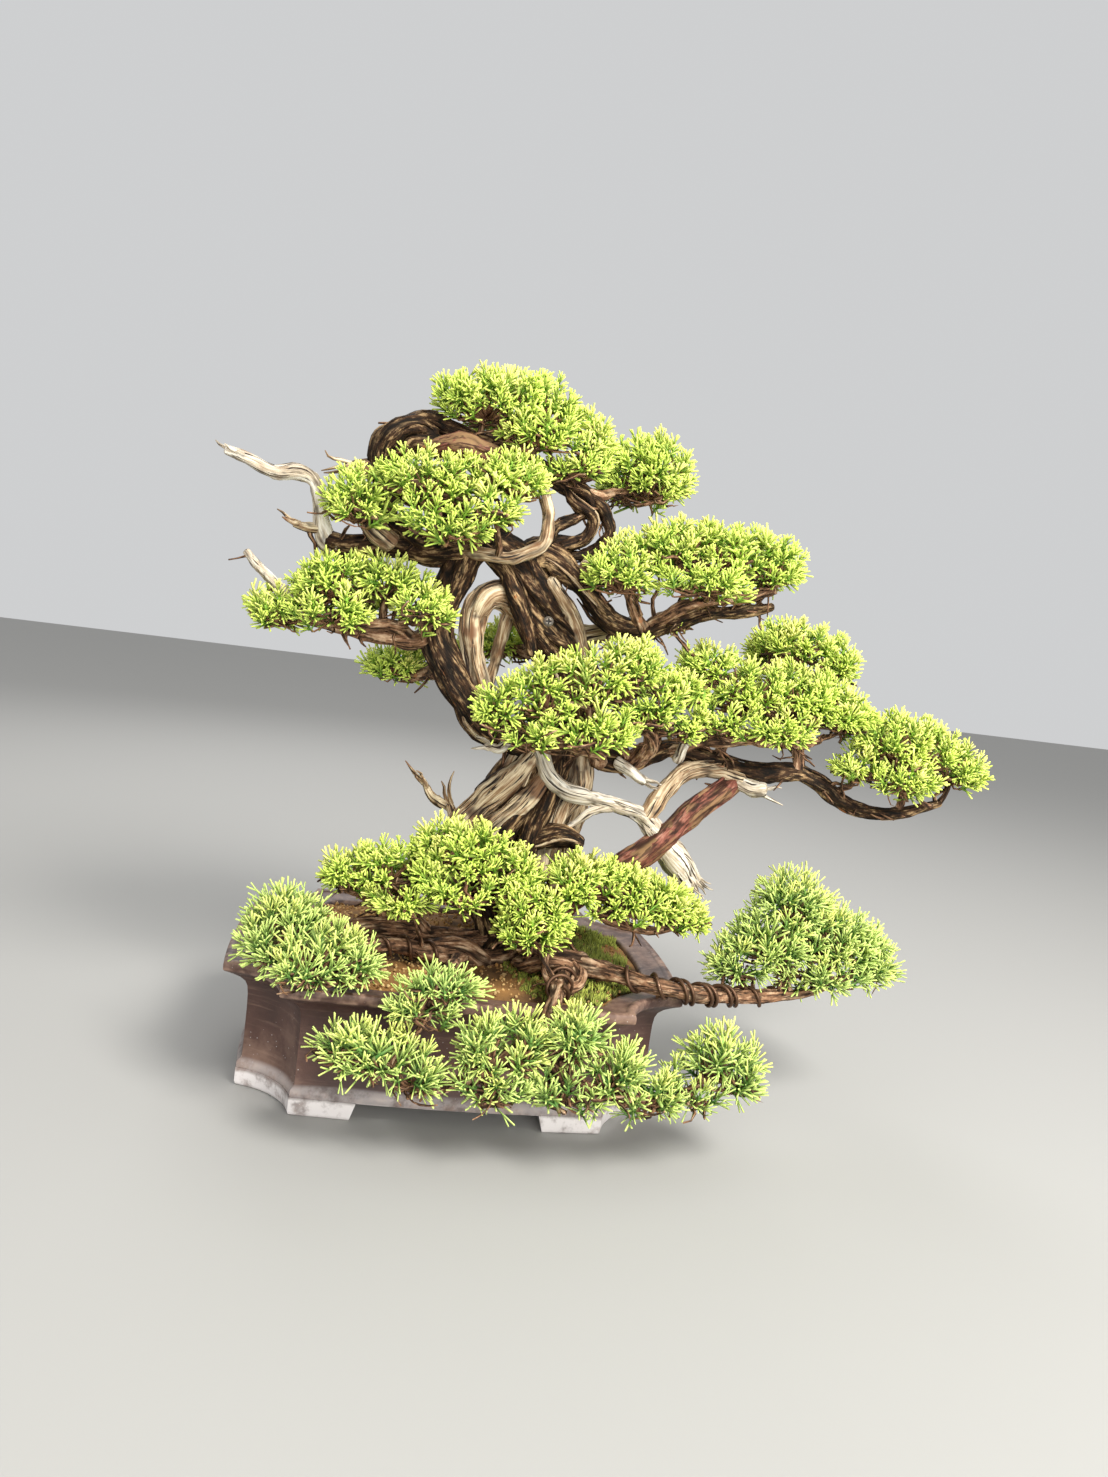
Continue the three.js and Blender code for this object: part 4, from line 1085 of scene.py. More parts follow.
CROWN_TANGLE = [
    [[57, 2, 457, 4], [74, 0, 446, 4.5], [80, 2, 430, 4], [70, 6, 414, 4.5], [50, 4, 408, 4.5],
     [30, 0, 402, 5]],
    [[41, -2, 461, 4], [50, -8, 447, 4.5], [65, -6, 437, 4.5], [60, -2, 422, 4], [44, -4, 414, 4.5]],
    [[66, 5, 445, 4], [52, -6, 436, 4], [38, -8, 428, 4.5], [30, -6, 414, 4.5], [14, -2, 406, 5]],
    [[-88, -4, 466, 5], [-74, -12, 472, 8], [-52, -16, 470, 8], [-24, -14, 467, 8], [0, -8, 464, 7],
     [24, -2, 462, 5]],
    [[-86, 6, 444, 6], [-92, -6, 430, 5], [-84, -14, 414, 5], [-64, -12, 404, 6], [-44, -6, 402, 6]],
    [[-92, 3, 460, 6], [-80, 4, 475, 8], [-62, 4, 481, 8], [-44, 3, 480, 8], [-18, 2, 474, 6]],
    [[4, -2, 470, 5], [-8, -12, 458, 5], [-26, -18, 452, 5], [-46, -14, 452, 6], [-70, -4, 452, 6]],
]
CROWN_KNOTS = [
    [[-97, -6, 444, 6], [-101, -10, 461, 8], [-93, -13, 477, 9], [-77, -12, 486, 8.5], [-62, -6, 482, 6]],
    [[-64, -16, 470, 5], [-44, -22, 475, 8.5], [-22, -22, 474, 9], [-4, -17, 470, 7], [8, -10, 466, 4]],
    [[-90, -14, 436, 5], [-100, -20, 424, 8], [-98, -22, 408, 9], [-84, -18, 398, 7]],
]
DEAD_STUBS = [
    [[-84, -2, 448, 9], [-104, -5, 452, 8], [-122, -8, 449, 6]],
    [[62, -6, 402, 6], [78, -12, 396, 5], [92, -16, 399, 3.5]],
    [[-24, -16, 208, 4], [-34, -22, 214, 3], [-40, -24, 224, 2]],
]
SILVER_STUBS = [
    [[203, -18, 251, 6], [214, -22, 247, 6.5], [224, -24, 247, 5.5]],
    [[108, -12, 254, 5], [116, -19, 250, 4.5], [128, -24, 243, 4]],
    [[154, -14, 262, 4.5], [155, -19, 268, 4.5], [156, -22, 275, 4]],
    [[20, -22, 262, 4], [12, -28, 256, 3.5], [2, -32, 258, 2.5]],
]
UNDER_PADS = [
    [[92, -68, 150, 4.5], [112, -76, 143, 4], [134, -74, 139, 3.5], [156, -68, 143, 2.5]],
    [[96, 2, 252, 8], [84, -22, 262, 7], [60, -44, 270, 6], [34, -56, 268, 5], [14, -60, 276, 3.5]],
    [[120, -4, 256, 7], [130, -28, 272, 6], [120, -44, 284, 4.5], [98, -52, 286, 3.5]],
    [[150, -8, 268, 6], [172, -22, 280, 5], [200, -28, 284, 4.5], [232, -30, 284, 4], [262, -26, 290, 3]],
    [[118, -15, 364, 6], [136, -24, 378, 5], [158, -30, 386, 4.5], [184, -28, 392, 4], [208, -22, 400, 3]],
    [[-60, -14, 331, 5], [-76, -30, 338, 4.5], [-100, -38, 338, 4], [-124, -36, 334, 3]],
    [[-36, -12, 112, 6], [-50, -30, 124, 5], [-70, -42, 136, 4], [-88, -50, 144, 3]],
]
BRANCH_KNOT = [
    [[60, -36, 92, 6], [48, -52, 100, 6.5], [56, -70, 108, 6], [74, -74, 110, 5], [86, -62, 102, 4]],
    [[82, -34, 92, 6], [92, -50, 104, 6], [80, -68, 114, 5.5], [62, -62, 112, 4.5], [56, -48, 102, 3.5]],
    [[74, -60, 108, 5], [86, -76, 104, 5.5], [80, -92, 98, 5], [66, -96, 102, 4.5], [60, -84, 108, 3.5]],
    [[30, -34, 92, 5], [14, -46, 102, 6], [-6, -48, 108, 5.5], [-24, -44, 104, 4.5], [-40, -40, 96, 3.5]],
]
TRUNK_SLABS = [
    [[-30, 4, 150, 5], [-14, -6, 182, 8], [8, -10, 214, 9], [30, -6, 238, 8], [46, 2, 262, 6]],
    [[-8, -26, 148, 5], [-4, -26, 172, 8], [12, -27, 194, 9], [32, -25, 212, 8], [50, -18, 236, 6]],
    [[34, -28, 140, 5], [40, -27, 168, 7], [46, -24, 196, 8], [56, -18, 222, 7], [62, -8, 250, 6]],
    [[70, -6, 150, 5], [74, -4, 184, 7], [84, 4, 214, 7], [86, 8, 244, 6], [80, 12, 270, 5]],
    [[30, -18, 330, 4], [22, -16, 352, 6], [12, -14, 374, 7], [0, -14, 394, 6], [-16, -12, 404, 5]],
    [[70, 0, 296, 4], [74, 2, 318, 6], [68, 2, 340, 6], [56, -1, 364, 6], [38, -6, 388, 5]],
]


@dataclass(frozen=True)
class Limb:
    """A limb, its surface, and how many strands, spurs and frayed ends it carries."""

    grain: Grain
    points: Path
    strands: int = 0
    spurs: int = 0
    frays: int = 0

    @classmethod
    def alike(cls, grain: Grain, routes: Sequence[Path], *counts: int) -> list["Limb"]:
        """Limbs of one kind, one for each route."""
        return [cls(grain, route, *counts) for route in routes]


SILVER_TWIG = 11
SCREW_PLACE = (40, -9, 356)
SCREW_DISH = 6.5
SCREW_RIM = 17


@dataclass
class TreeWood:
    """Trunk, limbs, bleached stubs, low branches and twigs, each a loft with its own grain."""

    limbs: tuple[Limb, ...] = (
        Limb(BARK, TRUNK, 34), Limb(BARE, TRUNK_FOLDS[0], 5), Limb(BARK, TRUNK_FOLDS[1], 5),
        Limb(BARE, TRUNK_FOLDS[2], 5), Limb(BARE, TRUNK_FOLDS[3], 2, 0, 3), Limb(BARK, TRUNK_FOLDS[4], 4),
        Limb(BARK, LEFT_LIMB, 22, 3), Limb(BARE, HOLLOW_ARCH, 16), Limb(BARE, HOLLOW_BACK),
        Limb(SILVER, LOWER_JIN[:7], 6), Limb(WEATHERED, LOWER_JIN[5:], 7, 0, 20),
        Limb(SILVER, LOWER_JIN_STUB), Limb(BARE, RIGHT_ARCH, 8), Limb(RED, RED_BRANCH, 10, 2),
        Limb(KNOTTY, RIGHT_BRANCH, 16, 28), Limb(KNOTTY, UPPER_RIGHT_BRANCH, 13, 26),
        Limb(BARE, BROKEN_LIMB, 4, 0, 4), Limb(BARK, UPPER_LEFT_JIN[:6], 10, 6),
        Limb(SILVER, UPPER_LEFT_JIN[4:], 4, 0, 3), Limb(BARE, UPPER_LEFT_STUB, 0, 0, 3),
        Limb(KNOTTY, CROWN_LIMB, 26, 22), Limb(BARE, PALE_LOOP, 6), *Limb.alike(KNOTTY, CROWN_TANGLE, 1, 5),
        *(Limb(grain, knot, 2, 1) for grain, knot in zip((KNOTTY, RED, BARE), CROWN_KNOTS)),
        *(Limb(BARE if i % 2 else BARK, slab, 4) for i, slab in enumerate(TRUNK_SLABS)),
        *Limb.alike(BARE, DEAD_STUBS, 1, 0, 5), *Limb.alike(SILVER, SILVER_STUBS, 0, 0, 2),
        *Limb.alike(TWIG, UNDER_PADS, 0, 9), *Limb.alike(TWIG, BRANCH_KNOT, 3), *Limb.alike(BARK, ROOTS, 3),
        Limb(WIRED, LOW_LEFT, 12, 8), Limb(WIRED, LOW_LEFT_FRONT, 6, 3), Limb(WIRED, LOW_FRONT, 8, 3),
        Limb(WIRED, LOW_RIGHT, 10),
        *(Limb(SILVER if i == SILVER_TWIG else TWIG, twig, 0, 2) for i, twig in enumerate(TWIGS)),
    )
    seed: int = 11

    def __post_init__(self) -> None:
        """Starts its mesh and its random numbers."""
        self.shell = Shell()
        self.random = np.random.default_rng(self.seed)

    def build(self, finishes: Sequence[Material]) -> np.ndarray:
        """Makes the wood as one piece.

        Args:
            finishes: the five wood materials, in the order of Wood.

        Returns:
            Its stations in millimetres, for the pads to grow from.
        """
        routes = []
        for seed, limb in enumerate(self.limbs):
            route = limb.grain.add(self.shell, limb.points, seed)
            routes.append(route.centres)
            for _ in range(limb.strands):
                self._add_strand(route, limb.grain)
            for _ in range(limb.spurs):
                self._add_spur(route)
            for _ in range(limb.frays):
                self._add_fray(route, limb.grain)
        self._seat_screw()
        hand_in(self.shell.build("tree_wood", finishes), "bark", "trunk_and_branches")
        return np.vstack(routes)

    def _seat_screw(self) -> None:
        """Sinks the bark round the screw's head into a shallow dish, so that the head stands clear."""
        seat = LAYOUT.place(SCREW_PLACE)
        for points in self.shell.points:
            away = np.hypot(points[:, 0] - seat[0], points[:, 2] - seat[2])
            limit = seat[1] - np.maximum(0, away - SCREW_DISH * MM) * 0.6
            pressed = (away < SCREW_RIM * MM) & (points[:, 1] < limit)
            points[pressed, 1] = limit[pressed]

    def _add_strand(self, route: Route, grain: Grain) -> None:
        """Adds a raised strand of bark or wood fibre that follows a limb and drifts round it.

        Args:
            route: the limb's route.
            grain: the limb's surface.
        """
        random = self.random
        total = route.along[-1]
        length = min(random.uniform(22, 85), 0.9 * total)
        start = random.uniform(0.02, 0.98 - length / total) * total
        angle = random.uniform(0, FULL_TURN)
        drift = random.uniform(-0.9, 0.9) + grain.twist * length / 100
        thick = random.uniform(0.08, 0.2) * route.radii.mean() + 0.5
        knots = []
        for share in np.linspace(0, 1, 7):
            centre, radius, _, out = route.side((start + share * length) / total, angle - drift * share)
            taper = math.sin(math.pi * (0.12 + 0.76 * share))
            lift = radius * 0.97 + (random.uniform(-0.3, 0.8) if 0 < share < 1 else -0.8)
            knots.append([*(centre + out * lift), max(0.35, thick * taper)])
        pale = grain.wood == Wood.BARK and random.uniform() < PALE_STRANDS
        slot = Wood.BARE.value if pale else grain.wood.value
        STRAND.add(self.shell, knots, any_seed(random), slot)

    def _add_spur(self, route: Route) -> None:
        """Adds a short crooked dead twig that never rises.

        Args:
            route: the limb's route.
        """
        random = self.random
        centre, radius, tangent, out = route.side(random.uniform(0.15, 0.97), random.uniform(0, FULL_TURN))
        way = unit(out + tangent * random.uniform(-1.2, 2.4))
        way[2] = min(way[2], 0.0)
        curl = np.cross(way, random.normal(size=3))
        length = random.uniform(7, 19)
        thick = random.uniform(0.8, min(1.7, 0.3 * radius + 0.6))
        root = centre + out * radius * 0.7
        knots = [[*root, thick]]
        for share, width in ((0.35, 0.85), (0.7, 0.7), (1.0, 0.45)):
            bend = curl * 0.35 * length * share ** 2 + random.normal(0, 1.2, 3)
            bend[2] = -abs(bend[2])
            knots.append([*(root + way * length * share + bend), thick * width])
        BRANCHLET.add(self.shell, knots, any_seed(random))

    def _add_fray(self, route: Route, grain: Grain) -> None:
        """Adds a torn strip of fibre at a limb's broken end.

        Args:
            route: the limb's route.
            grain: the limb's surface.
        """
        random = self.random
        start, radius, tangent, out = route.side(random.uniform(0.84, 0.97), random.uniform(0, FULL_TURN))
        length = random.uniform(10, 24)
        flare = random.uniform(0.1, 0.5)
        knots = [[*(start + out * radius * 0.6), 1.7]]
        for share, width in ((0.4, 1.6), (0.75, 1.1), (1.0, 0.4)):
            place = start + out * (radius * 0.75 + flare * length * share ** 2) + tangent * length * share
            knots.append([*(place + random.normal(0, 0.8, 3)), width])
        STRAND.add(self.shell, knots, any_seed(random), grain.wood.value)


class Scatter:
    """Copies of small shapes on points that carry an aim, a turn, a size, a kind and a tone."""

    CARRIED = ("copy", "aim", "turn", "size", "kind")

    def __init__(self, name: str, shapes: Sequence[bpy.types.Object]) -> None:
        """Keeps the shapes in a collection of their own, out of the scene, and builds the tree.

        Args:
            name: the tree's name, and the start of the collection's.
            shapes: the shapes to copy.
        """
        self.shapes = bpy.data.collections.new(name + "_shapes")
        for shape in shapes:
            self.shapes.objects.link(shape)
            bpy.context.scene.collection.objects.unlink(shape)
        self.tree = self._grow_tree(name)

    @staticmethod
    def _grow_tree(name: str) -> GeometryTree:
        """Builds the tree that puts a shape on each marked point and keeps the rest of the mesh.

        Args:
            name: its name.

        Returns:
            The tree.
        """
        tree = GeometryTree(name)
        shapes, material = tree.input("Shapes", "Collection"), tree.input("Material", "Material")
        marked = tree.node("FunctionNodeCompare", {"data_type": "FLOAT", "operation": "GREATER_THAN"},
                           {0: tree.named("copy"), 1: 0.5}).outputs[0]
        parts = tree.node("GeometryNodeSeparateGeometry", {"domain": "POINT"},
                          {"Geometry": tree.start.outputs[0], "Selection": marked})
        source = tree.node("GeometryNodeCollectionInfo", {},
                           {"Collection": shapes, "Separate Children": True, "Reset Children": True})
        aimed = tree.node("FunctionNodeAlignRotationToVector", {"axis": "Z"},
                          {"Vector": tree.named("aim", "FLOAT_VECTOR")})
        turned = tree.node("FunctionNodeAxisAngleToRotation", {},
                           {"Axis": (0, 0, 1), "Angle": tree.named("turn")})
        rotation = tree.node("FunctionNodeRotateRotation", {"rotation_space": "LOCAL"},
                             {0: aimed.outputs[0], 1: turned.outputs[0]})
        copies = tree.node("GeometryNodeInstanceOnPoints", {}, {
            "Points": parts.outputs["Selection"], "Instance": source.outputs[0], "Pick Instance": True,
            "Instance Index": tree.named("kind", "INT"), "Rotation": rotation.outputs[0],
            "Scale": tree.named("size"),
        })
        tree.finish(parts.outputs["Inverted"], tree.dressed(copies.outputs[0], material))
        return tree

    def points(self, shell: Shell, places: np.ndarray, aims: np.ndarray, sizes: np.ndarray,
               random: Random, kinds: np.ndarray | None = None, **values: np.ndarray) -> None:
        """Adds points to a mesh.

        Args:
            shell: the mesh to add to.
            places: the points, in millimetres.
            aims: where each copy's own z axis points.
            sizes: scale of each copy.
            random: picks the turns, and the kinds if none are given.
            kinds: which shape each point gets, by its place in the order of their names.
            values: further point attributes that pass on to the copies.
        """
        count = len(places)
        if kinds is None:
            kinds = random.integers(0, len(self.shapes.objects), count)
        turns = random.uniform(0, 6.283, count)
        shell.add(LAYOUT.place(places), [], copy=np.ones(count), aim=aims, size=sizes, turn=turns,
                  kind=kinds, **values)

    def run(self, piece: bpy.types.Object, material: Material) -> bpy.types.Object:
        """Puts the copies in place and drops what only the tree needed.

        Args:
            piece: a mesh with marked points, changed in place.
            material: what all the copies get.

        Returns:
            The piece.
        """
        self.tree.run(piece, Shapes=self.shapes, Material=material)
        for name in self.CARRIED:
            if name in piece.data.attributes:
                piece.data.attributes.remove(piece.data.attributes[name])
        return piece

    def clear(self) -> None:
        """Removes the shapes once no piece needs them."""
        for shape in list(self.shapes.objects):
            bpy.data.objects.remove(shape)
        bpy.data.collections.remove(self.shapes)


def slim_tube(shell: Shell, places: Sequence[np.ndarray], radii: Sequence[float],
              tips: Sequence[float]) -> None:
    """Adds a thin closed three-sided tube through a few places, in metres.

    Args:
        shell: the mesh to add to.
        places: its axis, first to last. The last place is the point that closes it.
        radii: its radius at all places but the last.
        tips: the tip attribute at every place.
    """
    sides = 3
    places = np.asarray(places, float)
    axis = unit(places[-1] - places[0])
    side = unit(np.cross(axis, np.eye(3)[np.argmin(np.abs(axis))]))
    across = np.cross(axis, side)
    angle = np.arange(sides) * 2 * math.pi / sides
    ring = np.cos(angle)[:, None] * side + np.sin(angle)[:, None] * across
    rings = places[:-1, None] + ring[None] * np.asarray(radii)[:, None, None]
    points = np.vstack([rings.reshape(-1, 3), places[-1:]])
    tip = np.concatenate([np.repeat(tips[:-1], sides), tips[-1:]])
    shell.add(points, tube_faces(len(places) - 1, sides, True), tip=tip)


@dataclass(frozen=True)
class Spray:
    """One spray of cord-like shoots that fork like coral, in millimetres."""

    name: str
    stem: float = 12.0
    fingers: int = 12
    finger: tuple[float, float] = (8.0, 12.5)
    fork: tuple[float, float] = (4.5, 7.0)
    fork_share: float = 0.66
    thick: float = 0.78
    spread: float = 72.0
    lift: float = 0.22

    def shape(self, seed: int) -> bpy.types.Object:
        """Makes one variant, rooted at the origin and growing along z.

        Args:
            seed: picks its pattern.

        Returns:
            The object, in metres.
        """
        random = np.random.default_rng(seed)
        shell = Shell()
        bend = random.uniform(-1.6, 1.6, 2)

        def on_stem(share: float) -> np.ndarray:
            """The place at a share of the stem."""
            return np.array([bend[0] * share ** 2, bend[1] * share ** 2, self.stem * share])

        slim_tube(shell, [on_stem(share) * MM for share in (0, 0.5, 1)] + [(on_stem(1) + UP * 3) * MM],
                  [0.0013, 0.0012, 0.001], [0, 0.2, 0.6, 0.9])
        for i in range(self.fingers):
            share = 0.16 + 0.84 * i / (self.fingers - 1)
            tilt = math.radians(self.spread * (1 - share) ** 0.55 + random.uniform(4, 20))
            turn = i * GOLDEN_ANGLE + random.uniform(-0.35, 0.35)
            lean = math.sin(tilt)
            out = np.array([lean * math.cos(turn), lean * math.sin(turn), math.cos(tilt)])
            length = random.uniform(*self.finger) * (1.12 - 0.3 * share)
            self._add_finger(shell, on_stem(share), out, length, 0.1 + 0.35 * share, random)
        return shell.build(f"{self.name}_{seed}", [])

    def _add_finger(self, shell: Shell, root: np.ndarray, out: np.ndarray, length: float, near: float,
                    random: Random) -> None:
        """Adds a finger, and perhaps the one that it forks into.

        Args:
            shell: the mesh to add to.
            root: where it leaves the stem.
            out: its way before it lifts.
            length: its length.
            near: the tip attribute at its root.
            random: picks its thickness and fork.
        """
        way = unit(out + UP * self.lift)
        thick = self.thick * random.uniform(0.88, 1.12)
        end = root + way * length
        slim_tube(shell, np.array([root, end, end + way * thick * 0.5]) * MM,
                  np.array([0.95, 0.92]) * thick * MM, [near, 0.92, 1.0])
        if random.uniform() < self.fork_share:
            side = unit(np.cross(way, random.normal(size=3)))
            turned = unit(way * 0.75 + side * 0.6 + UP * 0.25)
            fork = root + way * length * random.uniform(0.35, 0.6)
            tip = fork + turned * random.uniform(*self.fork)
            slim_tube(shell, np.array([fork, tip, tip + turned * thick * 0.5]) * MM,
                      np.array([0.85, 0.86]) * thick * MM, [near + 0.25, 0.92, 1.0])


MATURE_SPRAY = Spray("mature_spray")
MATURE_THIN = Spray("mature_thin", fingers=7, fork_share=0.3, thick=0.95)
YOUNG_SPRAY = Spray("young_spray", stem=14, fingers=11, finger=(11, 18), fork=(6.0, 10.0), fork_share=0.6,
                    thick=0.7, spread=58, lift=0.14)
YOUNG_THIN = Spray("young_thin", stem=14, fingers=6, finger=(10, 16), fork_share=0.3, thick=0.86, spread=58)
FULL_SPRAYS = 7
THIN_SPRAYS = 3

PADS = {
    "apex": [
        (-25, -5, 513, 45, 41, 27), (15, 5, 510, 35, 38, 31), (55, 10, 490, 25, 33, 31),
        (5, 45, 508, 41, 36, 28),
        (16, -26, 492, 30, 20, 19), (44, -16, 478, 26, 22, 18),
    ],
    "shoulder": [(110, 20, 480, 36, 38, 36), (98, 60, 478, 30, 35, 30)],
    "front_crown": [
        (-110, -32, 425, 28, 30, 27), (-60, -47, 446, 40, 28, 25), (-5, -45, 455, 29, 28, 23),
        (-44, -60, 418, 34, 28, 22), (-14, -58, 432, 24, 24, 18), (-80, -10, 470, 10, 10, 8),
    ],
    "left": [
        (-160, -20, 342, 26, 26, 20), (-120, -25, 365, 34, 34, 24), (-80, -30, 370, 30, 31, 22),
        (-55, -45, 355, 26, 27, 19), (-118, -45, 347, 30, 27, 16), (-112, 18, 360, 36, 33, 21),
    ],
    "back_left": [(-70, 60, 308, 33, 29, 18), (-30, 85, 318, 33, 30, 20), (12, 66, 335, 24, 26, 21)],
    "right": [
        (87, -30, 400, 30, 32, 27), (130, -15, 423, 36, 36, 26), (170, -15, 425, 34, 35, 26),
        (208, -15, 420, 28, 32, 27), (150, -45, 402, 36, 28, 18), (155, 35, 425, 36, 35, 24),
        (198, 30, 423, 30, 32, 24),
    ],
    "right_tuft": [(141, -10, 367, 12, 12, 8)],
    "back_right": [(260, 55, 366, 34, 34, 23), (292, 52, 352, 26, 31, 24), (256, 88, 355, 31, 31, 22)],
    "mid_right": [
        (168, -5, 338, 25, 27, 22), (202, -10, 322, 38, 38, 28), (247, -10, 320, 38, 39, 29),
        (285, -10, 312, 28, 34, 26), (218, -40, 298, 34, 29, 18), (252, 34, 308, 36, 34, 22),
        (180, -30, 298, 24, 24, 14),
    ],
    "far_right": [
        (322, -22, 296, 30, 33, 26), (350, -15, 293, 32, 35, 26), (382, -15, 280, 28, 31, 24),
        (330, -36, 270, 30, 26, 17), (356, 24, 284, 34, 32, 22), (298, -28, 274, 26, 24, 15),
    ],
    "centre": [
        (10, -62, 290, 27, 25, 24), (40, -66, 305, 29, 24, 28), (75, -62, 320, 32, 24, 26),
        (105, -52, 332, 25, 24, 25), (120, -48, 302, 28, 26, 25), (70, -76, 286, 35, 24, 20),
        (35, -73, 276, 25, 20, 16), (142, -34, 318, 25, 25, 20), (150, -32, 292, 24, 22, 16),
    ],
    "low_left": [
        (-90, -58, 160, 22, 24, 19), (-60, -55, 165, 24, 27, 22), (-48, -76, 147, 24, 22, 14),
        (-65, -24, 148, 26, 26, 18), (-36, -66, 166, 22, 22, 19),
    ],
    "low_mid": [
        (-22, -66, 184, 26, 25, 26), (5, -72, 185, 28, 26, 26), (-8, -88, 162, 30, 22, 18),
        (27, -76, 172, 25, 24, 23),
    ],
    "low_right": [
        (50, -84, 152, 26, 28, 20), (78, -76, 173, 28, 31, 25), (110, -70, 165, 30, 32, 26),
        (145, -65, 160, 27, 29, 21), (168, -65, 151, 17, 18, 13), (45, -92, 138, 26, 22, 13),
        (128, -32, 155, 30, 29, 20), (44, -82, 163, 22, 22, 18),
    ],
    "rim_left": [
        (-125, -78, 130, 27, 28, 20), (-130, -105, 116, 22, 27, 22), (-100, -112, 118, 27, 24, 22),
        (-75, -126, 114, 20, 19, 17), (-104, -140, 112, 24, 20, 15),
    ],
    "low_branch": [
        (255, -40, 163, 28, 31, 26), (240, -50, 132, 36, 36, 26), (290, -40, 136, 35, 37, 28),
        (320, -40, 120, 25, 28, 22), (212, -58, 116, 24, 23, 15), (280, -50, 114, 36, 31, 17),
        (298, -2, 122, 35, 34, 23),
    ],
    "cascade_left": [
        (-76, -166, 74, 17, 20, 16), (-52, -170, 69, 22, 22, 22), (-28, -173, 62, 20, 20, 20),
    ],
    "cascade_tuft": [(-16, -154, 114, 27, 17, 13), (-30, -158, 100, 22, 16, 12)],
    "cascade_mid": [(15, -174, 80, 20, 22, 25), (38, -173, 84, 20, 21, 23), (20, -180, 58, 22, 18, 14)],
    "cascade_right": [
        (72, -172, 93, 22, 21, 21), (67, -177, 60, 27, 19, 17), (98, -174, 70, 28, 21, 22),
        (128, -168, 56, 22, 19, 17),
    ],
    "cascade_end": [(175, -152, 78, 25, 23, 22), (194, -151, 66, 16, 19, 16), (158, -161, 58, 20, 17, 14)],
    "back_low": [(58, 92, 145, 34, 32, 20), (106, 92, 140, 32, 30, 18), (12, 84, 134, 30, 28, 18)],
}
YOUNG_PADS = ("rim_left", "low_branch", "cascade_left", "cascade_tuft", "cascade_mid", "cascade_right",
              "cascade_end")


@dataclass(frozen=True)
class Lobe:
    """One rounded part of a pad: its centre and half sizes, in millimetres."""

    centre: np.ndarray
    half: np.ndarray

    @property
    def hub(self) -> np.ndarray:
        """Where its branchlets meet."""
        return self.centre - UP * 0.5 * self.half

    def away(self, places: np.ndarray) -> np.ndarray:
        """How far places are from its centre, with 1 at its surface."""
        return np.linalg.norm((places - self.centre) / self.half, axis=1)


@dataclass(frozen=True)
class Ramble:
    """How a dead twig wanders along the underside of a lobe."""

    farthest: float
    depth: tuple[float, float]
    steps: int
    stray: tuple[float, float, float]
    homing: float
    rise: float
    stride: tuple[float, float]

    def start(self, lobe: Lobe, under: float, random: Random) -> tuple[np.ndarray, float]:
        """Picks where the twig starts.

        Args:
            lobe: the lobe that it hangs under.
            under: the lobe's depth below its centre, as a share of its half height.
            random: picks the place.

        Returns:
            The place, and its turn about the lobe's centre.
        """
        turn = random.uniform(0, FULL_TURN)
        away = random.uniform(0.1, self.farthest)
        down = -under * random.uniform(*self.depth)
        return lobe.centre + lobe.half * [away * math.cos(turn), away * math.sin(turn), down], turn

    def walk(self, lobe: Lobe, place: np.ndarray, way: Sequence[float],
             random: Random) -> list[np.ndarray]:
        """Walks on from a place, drawn back to the middle of the lobe.

        Args:
            lobe: the lobe that the twig hangs under.
            place: where it starts.
            way: its way at the start.
            random: picks the strides.

        Returns:
            The places that it passes, with the first.
        """
        places = [place]
        for _ in range(self.steps):
            homeward = (lobe.centre - place) / lobe.half * [self.homing, self.homing, 0]
            way = way + random.normal(0, self.stray) + homeward
            way[2] *= self.rise
            way = unit(way)
            place = place + way * random.uniform(*self.stride)
            places.append(place)
        return places


TANGLE = Ramble(0.7, (0.55, 1.0), 5, (0.6, 0.6, 0.4), 0.45, 0.5, (5, 9))
FRINGE = Ramble(0.75, (0.7, 1.05), 4, (0.9, 0.9, 0.5), 0.4, 0.6, (3.5, 6.5))


